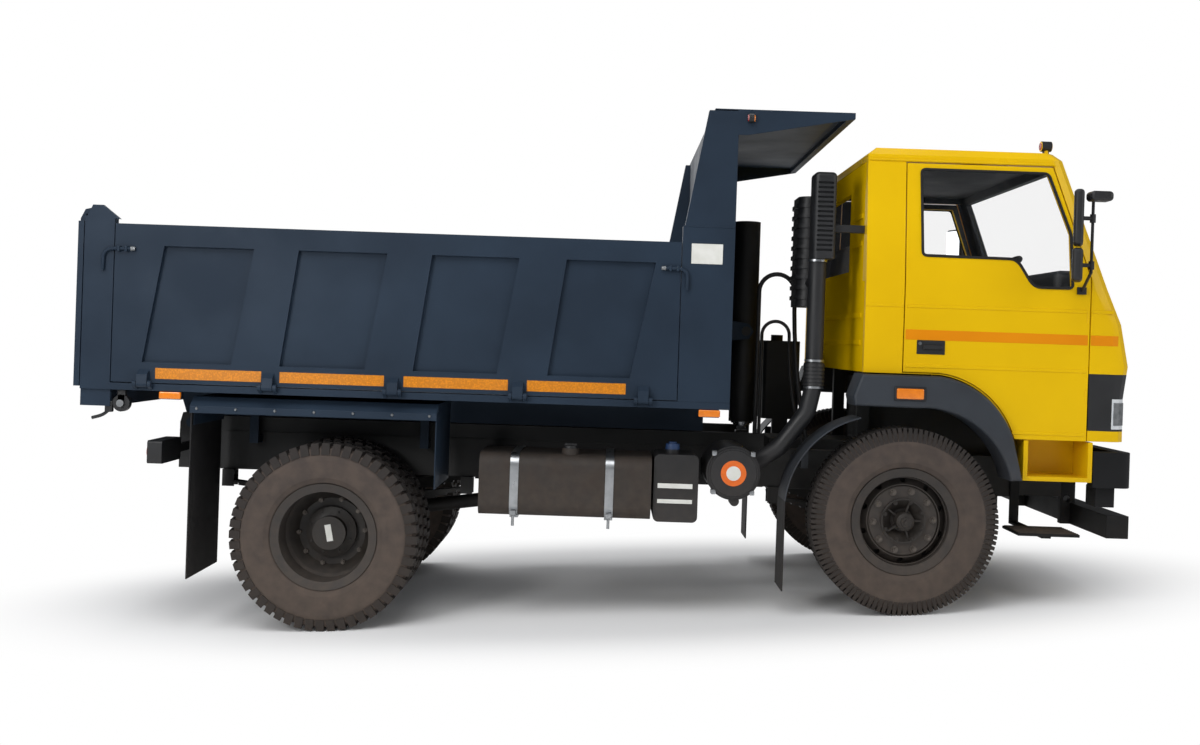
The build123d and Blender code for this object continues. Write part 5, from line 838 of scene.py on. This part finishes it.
# %% Lamps, mirror plates and step treads
ROOF_LAMP = (3890, 880, 2268)
ROOF_LAMP_R = 27
ROOF_LAMP_HALF = 27
ROOF_LENSES = ((1, 1), (-1, 2))      # which way each lens faces, and its finish
FLARE_LAMP_X = (3061, 3208)
FLARE_LAMP_Z = (854, 911)
FLARE_Y = 1092
FLARE_RIM = (12, 9)        # how far the lamp's rim reaches beyond its lens, along and up
STEP_X = (3762, 4086)
STEP_Y = (770, 1036)
STEP_TOP = 149
STEP_RIBS = 9
STEP_EDGE = 8
HEADLAMP_INSET = (
    # x and distance from the middle of the reflector's run round the corner of the nose
    (4252, 1037), (4284, 1028.5), (4317, 995.5), (4329.5, 950), (4330.5, 712),
)
REFLECTOR_Z = (746, 868)
REFLECTOR_HALF = 2.5
HEADLAMP_X, HEADLAMP_Y, HEADLAMP_Z = (4330, 4336), (760, 880), 807

shape = bmesh.new()
for side, _ in SIDES:
    x, y, z = ROOF_LAMP[0], side * ROOF_LAMP[1], ROOF_LAMP[2]
    turned(shape, (x - ROOF_LAMP_HALF, y, z), (x + ROOF_LAMP_HALF, y, z), ROOF_LAMP_R + 2)
    for ahead, material in ROOF_LENSES:
        turned(shape, (x + ahead * 20, y, z), (x + ahead * (ROOF_LAMP_HALF + 5), y, z),
               ROOF_LAMP_R - 1, ROOF_LAMP_R - 8, material)
    block(shape, (x - 16, y - 12, z - 46), (x + 16, y + 12, z - 20), 3)
    rim_x, rim_z = ((lens[0] - grow, lens[1] + grow)
                    for lens, grow in zip((FLARE_LAMP_X, FLARE_LAMP_Z), FLARE_RIM))
    side_block(shape, side, rim_x, (FLARE_Y - 3, FLARE_Y + 9), rim_z, 6, 0, 3)
    side_block(shape, side, FLARE_LAMP_X, (FLARE_Y, FLARE_Y + 16), FLARE_LAMP_Z, 9, 1, 3)
    for k in range(STEP_RIBS):
        across = STEP_Y[0] + STEP_EDGE + k * (STEP_Y[1] - STEP_Y[0] - 2 * STEP_EDGE) / (STEP_RIBS - 1)
        side_block(shape, side, STEP_X, (across - 6, across + 6), (STEP_TOP - 2, STEP_TOP + 4), 2, 3)
    for start, end in zip(HEADLAMP_INSET, HEADLAMP_INSET[1:]):
        start, end = Vector(start), Vector(end)
        out = (end - start).orthogonal().normalized() * REFLECTOR_HALF
        strip = (start - out, end - out, end + out, start + out)
        prism(shape, [(x, side * y) for x, y in strip], *REFLECTOR_Z, 4)
    for y in HEADLAMP_Y:
        turned(shape, *((x, side * y, HEADLAMP_Z) for x in HEADLAMP_X), 50, 46, 5, 32)
piece("cab_lamps_and_steps", shape, "chassis",
      [black_plastic, amber_lens_painted_glow, red_lens, tank_plastic, zinc_steel, clear_lens])

MIRROR_HEADS = (
    # low and high z, depth and width of each mirror's shell
    (1699, 1992, 50, 180),
    (1509, 1685, 54, 165),
)
MIRROR_X = 3971
MIRROR_TUBE_X = 4045
MIRROR_Y = 1195
MIRROR_TURN = 20
MIRROR_INSET = 13
CLAMP_HALF = 22
for side, tag in SIDES:
    shape = bmesh.new()
    turn = Matrix.Rotation(math.radians(side * MIRROR_TURN), 4, "Z")
    turn.translation = (MIRROR_X, side * MIRROR_Y, 0)
    for low, high, depth, width in MIRROR_HEADS:
        before = set(shape.verts)
        half = width / 2 - MIRROR_INSET
        back, front = -depth / 2 - 1.5, -depth / 2 + 3
        block(shape, (back, -half, low + MIRROR_INSET), (front, half, high - MIRROR_INSET), 1, 0, 1)
        bmesh.ops.transform(shape, matrix=turn, verts=[v for v in shape.verts if v not in before])
        middle = (low + high) / 2
        ends = ((MIRROR_TUBE_X, side * MIRROR_Y, middle + up) for up in (-CLAMP_HALF, CLAMP_HALF))
        turned(shape, *ends, 15, material=1)
    piece("mirror_plates_" + tag, shape, "door_" + tag, [mirror_glass, black_plastic])
print("cab trim done")

# %% [markdown]
# The drop sides carry strips of reflective tape along their lower band, between the hinges, and a drop
# handle with an L-shaped bolt at each end. The tape is film, a little proud of the band. The bolts ride on
# the boards and lie across the posts' faces, so that a board takes them along when it swings down.

# %% Tapes and bolts of the drop sides
BED_HALF = 1100
TAPE_Z = (828, 886)
TAPE_X = ((-917, -349), (-250, 310), (415, 975), (1077, 1607))
BOLT_R = 9
BOLT_GUIDES = (18, 58)     # how far the bolt's two guides are from its eye
BOLTS = (
    # x of the bolt's eye on the board and of its grip over the post, height of the bolt and of the grip's end
    (-1062, -1212, 1520, 1402),
    (1800, 1918, 1512, 1400),
)
for side, tag in SIDES:
    shape = bmesh.new()
    for x in TAPE_X:
        side_block(shape, side, x, (BED_HALF - 1, BED_HALF + FILM), TAPE_Z, 1, 0, 1)
    for eye_x, grip_x, z, low in BOLTS:
        y = side * (BED_HALF + 14)
        towards = math.copysign(1, grip_x - eye_x)
        tube(shape, bend([(eye_x, y, z), (grip_x, y, z), (grip_x, y, low)], 6), BOLT_R, 1, 10)
        turned(shape, (eye_x, y, z), (eye_x - towards * 22, y, z), 14, 10, 2, 16)
        for along in BOLT_GUIDES:
            x = sorted((eye_x + towards * along, eye_x + towards * (along + 16)))
            side_block(shape, side, x, (BED_HALF - 2, BED_HALF + 27), (z - 15, z + 15), 5, 1)
    piece("side_trim_" + tag, shape, "side_" + tag,
          [orange_tape, slate_paint, zinc_steel])
print("tapes", len(TAPE_X), "bolts", len(BOLTS), "a side")

# %% [markdown]
# Under the bed hang amber marker lamps and, at the rear corners, the tailgate's locks: a hook plate on a
# round boss with a lever. The headboard's cheek has a bare plate, and its canopy a lamp at the corner.

# %% Markers, locks and the bare plate on the bed
MARKER_X, MARKER_Z = (-835, 2060), (722, 760)
MARKER_HALF = 58
LOCK_X, LOCK_Z = -1105, 690
LOCK_TOP = 764
LOCK_Y = (BED_HALF - 60, BED_HALF - 25)
HOOK_X, HOOK_Z = (-1192, -1150), (640, 700)
LEVER = ((-1170, 652), (-1205, 622), (-1262, 606))
PLATE_X, PLATE_Z = (1936, 2104), (1542, 1650)
SEAM_X, SEAM_Z = (1889, 2166), (1738, 1746)     # weld across a cheek at its waist
CANOPY_LAMP = (2232, 2330)
CANOPY_LAMP_TURNS = (
    # both ends along the truck from the lamp's middle, radius at each and finish: its drum and its lenses
    (-14, 14, 24, 24, 2),
    (10, 20, 21, 17, 1),
    (-10, -20, 21, 17, 5),
)
shape = bmesh.new()
for side, _ in SIDES:
    for x in MARKER_X:
        side_block(shape, side, (x - MARKER_HALF, x + MARKER_HALF), (BED_HALF - 14, BED_HALF + 6), MARKER_Z,
                   6, 1, 3)
    boss = [(LOCK_X, side * y, LOCK_Z) for y in (*LOCK_Y, BED_HALF - 8)]
    turned(shape, boss[0], boss[1], 46, material=2)
    turned(shape, boss[1], boss[2], 20, material=3)
    side_block(shape, side, (LOCK_X - 22, LOCK_X + 22), LOCK_Y, (LOCK_Z, LOCK_TOP), 4, 2)
    side_block(shape, side, HOOK_X, (BED_HALF - 50, BED_HALF - 20), HOOK_Z, 6, 2)
    tube(shape, bend([(x, side * (BED_HALF - 34), z) for x, z in LEVER]), 9, 2, 8)
    side_block(shape, side, PLATE_X, (BED_HALF - 1, BED_HALF + 2), PLATE_Z, 1.5, 4, 2)
    side_block(shape, side, SEAM_X, (BED_HALF - 2, BED_HALF + 2.5), SEAM_Z, 2, 0)
    x, z = CANOPY_LAMP
    y = side * (BED_HALF + 12)
    for start, end, radius, end_radius, material in CANOPY_LAMP_TURNS:
        turned(shape, (x + start, y, z), (x + end, y, z), radius, end_radius, material)
piece("bed_trim", shape, "bed",
      [slate_paint, amber_lens_painted_glow, black_plastic, zinc_steel, label_white, red_lens])
print("bed trim done")

# %% [markdown]
# Each front wheel shows its disc: ten wheel nuts on bosses, a dark drum behind the round hand holes, and a
# ribbed hub with bolts round its flange. The rear wheels are deep dishes, so their nuts sit far in, and a
# blank white label sticks to the hub's cap. All of it turns with the wheels.

# %% Hubs, nuts and drums of the wheels
NUTS = 10
NUT_R = 15
FRONT_NUT_PCD = 164
FRONT_FACE = 985
FRONT_CAP = 1058
REAR_NUT_PCD = 184
REAR_FACE = 805
REAR_CAP = 905
HUB_BOLTS = 8
FRONT_BOLT_PCD, FRONT_FLANGE = 108, 999
REAR_BOLT_PCD, REAR_FLANGE = 116, 842
NUT_HEIGHT = 22
DRUM_R, DRUM_Y = (118, 244), (900, 893)
DISC_RINGS = (198, 238)    # radii of the pressed rings on the front wheels' discs
RING_SECTION = ((-4, -1.5), (-2, 2), (2, 2), (4, -1.5))
LABEL_SIZE = Vector((34, 1.2, 92))
LABEL_TURN = Matrix.Rotation(math.radians(-8), 3, "Y")


def nuts_round(shape, count, radius, y, height, nut, material, turn=0):
    """Hexagon nuts on washers round a hub whose middle is the origin, on the face at y, standing out."""
    outwards = math.copysign(1, y)
    for k in range(count):
        a = 2 * math.pi * (k + turn) / count
        x, z = radius * math.cos(a), radius * math.sin(a)
        turned(shape, (x, y - outwards * 2, z), (x, y + outwards * 5, z), nut + 5, nut + 4, material, 16)
        turned(shape, (x, y, z), (x, y + outwards * height, z), nut, nut * 0.94, material, 6)
        stud = y + outwards * (height + 9)
        turned(shape, (x, y, z), (x, stud, z), nut * 0.5, material=material, segments=10)


for side, tag in SIDES:
    shape = bmesh.new()
    nuts_round(shape, NUTS, FRONT_NUT_PCD, side * FRONT_FACE, NUT_HEIGHT, NUT_R, 2)
    nuts_round(shape, HUB_BOLTS, FRONT_BOLT_PCD, side * FRONT_FLANGE, 8, 7, 1, 0.5)
    turned(shape, (0, side * (FRONT_CAP - 2), 0), (0, side * (FRONT_CAP + 6), 0), 30, 26, 1)
    turned(shape, (0, side * (FRONT_CAP + 4), 0), (0, side * (FRONT_CAP + 16), 0), 13, None, 1, 6)
    (low, high), (near, far) = DRUM_R, DRUM_Y
    drum = ((low, near), (high, near), (high, far), (low, far), (low, near))
    spun(shape, [(radius, side * y) for radius, y in drum], 1, 48)
    for ring_r in DISC_RINGS:
        spun(shape, [(ring_r + out, side * (FRONT_FACE + up)) for out, up in RING_SECTION], 0, 64)
    piece("front_hub_trim_" + tag, shape, "wheel_front_" + tag,
          [rim_paint, hub_black_and_painted_shade, nut_steel], at_hub(FRONT_HUB))
    shape = bmesh.new()
    nuts_round(shape, NUTS, REAR_NUT_PCD, side * REAR_FACE, NUT_HEIGHT, NUT_R, 2)
    nuts_round(shape, HUB_BOLTS, REAR_BOLT_PCD, side * REAR_FLANGE, 9, 8, 0, 0.5)
    place = Matrix.LocRotScale((0, side * (REAR_CAP + LABEL_SIZE.y / 2), 2), LABEL_TURN, LABEL_SIZE)
    label = bmesh.ops.create_cube(shape, size=1, matrix=place)
    paint({f for v in label["verts"] for f in v.link_faces}, 1)
    piece("rear_hub_trim_" + tag, shape, "wheels_rear_" + tag,
          [hub_black_and_painted_shade, label_white, nut_steel], at_hub(REAR_HUB))

# Painted shade: the recessed middle of the rear dishes and of the front hubs takes the hub's dark finish,
# darker than their rims
PAINTED_SHADE_WITHIN = {"front_rim": (FRONT_HUB, 0.128), "rear_rims": (REAR_HUB, 0.232)}
for node, (hub, radius) in PAINTED_SHADE_WITHIN.items():
    for side, tag in SIDES:
        mesh = dressed[node + "_" + tag].data
        mesh.materials[1] = hub_black_and_painted_shade
        for face in mesh.polygons:
            off = face.center - hub
            face.material_index = 1 if math.hypot(off.x, off.z) < radius else 0
print("nuts", 4 * NUTS)

# %% [markdown]
# Along the frame: stainless straps with buckles hold the fuel tank, and its cap has a grip bar. The
# additive tank has a blue cap and blank white labels. The air cleaner's lid has clips and a round blank
# label in orange and white, and rubber bellows join the intake's pipes.

# %% Trim along the frame, right side
TANK_Y = -1028
TANK_Z = (146, 485)
STRAP_X = (1020, 1537)
STRAP_W = 46
STRAP_END = -520             # how far in behind the tank a strap ends
STRAP_LIFT = 3
TANK_R = 70
STRAP_STEP = math.radians(18)
STRAP_BOLT_Z, BUCKLE_Z = (150, 96), (152, 178)
TANK_CAP = Vector((1319, -930, 517))
ADDITIVE_CAP = Vector((1879.5, -910, 535))
CAP_TURNS = (
    # place, height of the start and end, radius at each and finish
    (TANK_CAP, -4, 14, 40, 36, 1),
    (ADDITIVE_CAP, -6, 24, 40, 37, 2),
    (ADDITIVE_CAP, 20, 34, 22, 22, 2),
)
LABEL_X, LABEL_Y = (1800, 1990), (-1001.5, -998)
LABELS_Z = ((322, 348), (240, 262))
CLEANER = (2208, 417)
CLEANER_FACE = -1024
CLEANER_DISCS = ((128, 6, 1), (72, 8, 4), (42, 9, 3))     # radius, depth and finish
CLIPS = 4
CLIP_RING = 148
CLIP_HALF, CLIP_Y = 13, (-1020, -960)
INTAKE = (2640, -930)
BELLOWS_Z = [905 + 21 * k for k in range(6)]
CLAMPS_Z = (890, 1036, 1585)
RING_H = 12
shape = bmesh.new()
for x in STRAP_X:
    wide, around = TANK_R + STRAP_LIFT, TANK_Y + TANK_R
    path = [(STRAP_END, TANK_Z[1] + STRAP_LIFT), (around, TANK_Z[1] + STRAP_LIFT)]
    path += [(around - wide * math.sin(a), TANK_Z[1] - TANK_R + wide * math.cos(a))
             for a in (STRAP_STEP * k for k in range(1, 6))]
    path += [(around - wide * math.cos(a), TANK_Z[0] + TANK_R - wide * math.sin(a))
             for a in (STRAP_STEP * k for k in range(6))]
    path += [(STRAP_END, TANK_Z[0] - STRAP_LIFT)]
    last = None
    for y, z in path:
        pair = [shape.verts.new((x + across, y, z)) for across in (-STRAP_W / 2, STRAP_W / 2)]
        if last:
            shape.faces.new((*last, pair[1], pair[0]))
        last = pair
    turned(shape, *((x, TANK_Y - 10, z) for z in STRAP_BOLT_Z), 8, segments=10)
    block(shape, (x - 16, TANK_Y - 22, BUCKLE_Z[0]), (x + 16, TANK_Y + 6, BUCKLE_Z[1]), 3)
bmesh.ops.recalc_face_normals(shape, faces=shape.faces)
for cap, low, high, radius, end_radius, material in CAP_TURNS:
    turned(shape, cap + Vector((0, 0, low)), cap + Vector((0, 0, high)), radius, end_radius, material)
block(shape, TANK_CAP + Vector((-34, -7, 10)), TANK_CAP + Vector((34, 7, 26)), 4, 1)
for low, high in LABELS_Z:
    block(shape, (LABEL_X[0], LABEL_Y[0], low), (LABEL_X[1], LABEL_Y[1], high), 0.8, 3, 1)
x, z = CLEANER
for radius, depth, material in CLEANER_DISCS:
    turned(shape, (x, CLEANER_FACE + 4, z), (x, CLEANER_FACE - depth, z), radius, radius - 3, material, 40)
for k in range(CLIPS):
    a = 2 * math.pi * (k + 0.5) / CLIPS
    cx, cz = x + CLIP_RING * math.cos(a), z + CLIP_RING * math.sin(a)
    block(shape, (cx - CLIP_HALF, CLIP_Y[0], cz - CLIP_HALF), (cx + CLIP_HALF, CLIP_Y[1], cz + CLIP_HALF), 4)
for low in BELLOWS_Z:
    turned(shape, (*INTAKE, low), (*INTAKE, low + RING_H), 60, 57, 5, 28)
for low in CLAMPS_Z:
    turned(shape, (*INTAKE, low), (*INTAKE, low + RING_H), 54, segments=28)
piece("frame_trim_right", shape, "chassis",
      [bright_steel, black_plastic, cap_blue, label_white, label_orange, hose_rubber])
print("straps", len(STRAP_X))

# %% [markdown]
# A row of bolts holds each rear mudguard along its edge.

# %% Mudguard bolts
GUARD_BOLT_X = (-690, -480, -270, -60, 150, 360, 560)
GUARD_BOLT = (1096, 676)
shape = bmesh.new()
for side, _ in SIDES:
    for x in GUARD_BOLT_X:
        y, z = side * GUARD_BOLT[0], GUARD_BOLT[1]
        turned(shape, (x, y, z), (x, y + side * 8, z), 9, 6, 0, 10)
piece("mudguard_bolts", shape, "chassis", [zinc_steel])
print("mudguard bolts", 2 * len(GUARD_BOLT_X))

# %% [markdown]
# The seats show through the windows: foam under woven cloth. Each cushion is one closed form that crowns in
# its middle, pulls in along its sides between the corners, and has sewn channels down its face. A cushion
# starts as a finely cut cube, and each of its points is moved by where it lies on the cube.

# %% Padded seats
CUSHION_CUTS = 15
CROWN_MM = 16
PULL_IN = 0.035
CHANNEL_MM = 9
CHANNEL_WIDTH = 0.045          # as a share of half the cushion's width, like the channels' places
CHANNELS = (-0.42, 0.42)


def cushion(name, size, place):
    """A padded piece of the given depth, width and thickness in mm, at a place along the rails."""
    shape = bmesh.new()
    bmesh.ops.create_cube(shape, size=2)
    bmesh.ops.subdivide_edges(shape, edges=shape.edges, cuts=CUSHION_CUTS, use_grid_fill=True)
    bmesh.ops.smooth_vert(shape, verts=shape.verts, factor=0.5,
                          use_axis_x=True, use_axis_y=True, use_axis_z=True)
    for vert in shape.verts:
        u, v, w = vert.co
        middle = max(0, 1 - u * u) * max(0, 1 - v * v)
        on_face = w > 0.9 and abs(u) < 0.8
        sewn = sum(math.exp(-((v - c) / CHANNEL_WIDTH) ** 2) for c in CHANNELS) if on_face else 0
        vert.co = Vector((
            u * (1 - PULL_IN * (1 - v * v)) * size[0] / 2,
            v * (1 - PULL_IN * (1 - u * u)) * size[1] / 2,
            w * size[2] / 2 + (CROWN_MM * middle - CHANNEL_MM * sewn if w > 0 else 0),
        ))
    made = piece(name, shape, "chassis", [seat_cloth], RAILS @ place)


SEATS = (
    # name, middle across the truck, width
    ("driver", -480, 490),
    ("mate", 460, 780),
)
BASE_SIZE, BASE_PLACE = (420, 115), (3285, 1176)        # depth and thickness; along and up
BACK_SIZE, BACK_PLACE = (560, 95), (3045, 1500)
BASE_TURN = Matrix.Rotation(math.radians(-4), 4, "Y")
BACK_TURN = Matrix.Rotation(math.radians(-83), 4, "Y") @ Matrix.Rotation(math.pi, 4, "Z")
PLINTH_X, PLINTH_Z = (3000, 3440), (1031, 1122)
PLINTH_INSET = 30
plinth = bmesh.new()
for name, y, width in SEATS:
    for part, size, place, turn in (("seat_base_", BASE_SIZE, BASE_PLACE, BASE_TURN),
                                    ("seat_back_", BACK_SIZE, BACK_PLACE, BACK_TURN)):
        cushion(part + name, (size[0], width, size[1]), Matrix.Translation((place[0], y, place[1])) @ turn)
    half = width / 2 - PLINTH_INSET
    block(plinth, (PLINTH_X[0], y - half, PLINTH_Z[0]), (PLINTH_X[1], y + half, PLINTH_Z[1]), 12)
plinth_piece = piece("seat_plinths", plinth, "chassis", [dash_plastic])
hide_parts("seats")
print("cushions", 2 * len(SEATS))

# %% [markdown]
# The last pieces are a soft cowl over the dashboard, the lenses of the tail lamps, and two hydraulic hoses
# that loop up between the bed and the cab. Both ends of a hose are on the frame, so it stays still when
# the bed tips.

# %% Cowl, tail lenses and hoses
COWL = ((3945, -930, 1430), (4122, 930, 1585))
TAIL_LENS_Y = (755, 855, 955)
TAIL_LENS_X = (-976, -988)
TAIL_LENS_Z = 425
HOSE_Y = -395
HOSE_SPLAY = 110             # how far the front leg swings forward on its way down
LEG_STEPS, ARC_STEPS = 8, 16
HOSES = (
    # radius, both ends along the rails and up, and where the loop starts to turn
    (13, (2388, 596), (2598, 511), 1435),
    (10, (2412, 596), (2574, 511), 1180),
)


def looped(start, end, turn_z):
    """A hose's run: up from one end, half round and down to the other."""
    half = (end[0] - start[0]) / 2
    run = [(start[0], start[1] + (turn_z - start[1]) * k / LEG_STEPS) for k in range(LEG_STEPS)]
    for k in range(ARC_STEPS + 1):
        turn = math.pi * k / ARC_STEPS
        run.append((start[0] + half - half * math.cos(turn), turn_z + half * math.sin(turn)))
    for k in range(1, LEG_STEPS + 1):
        down = k / LEG_STEPS
        run.append((end[0] + HOSE_SPLAY * down ** 2, turn_z + (end[1] - turn_z) * down))
    return [Vector((x, HOSE_Y, z)) for x, z in run]


shape = bmesh.new()
block(shape, *COWL, 45, 0, 4)
for side, _ in SIDES:
    for k, y in enumerate(TAIL_LENS_Y):
        turned(shape, *((x, side * y, TAIL_LENS_Z) for x in TAIL_LENS_X), 46, 40, 1 + k % 2, 28)
piece("cowl_and_tail_lenses", shape, "chassis", [dash_plastic, red_lens, amber_lens_painted_glow])
for k, (radius, start, end, turn_z) in enumerate(HOSES, start=1):
    shape = bmesh.new()
    run = looped(start, end, turn_z)
    tube(shape, run, radius, 0, 12)
    made = piece("hoist_hose_" + str(k), shape, "chassis", [hose_rubber])
    path = [RAILS @ point for point in run]
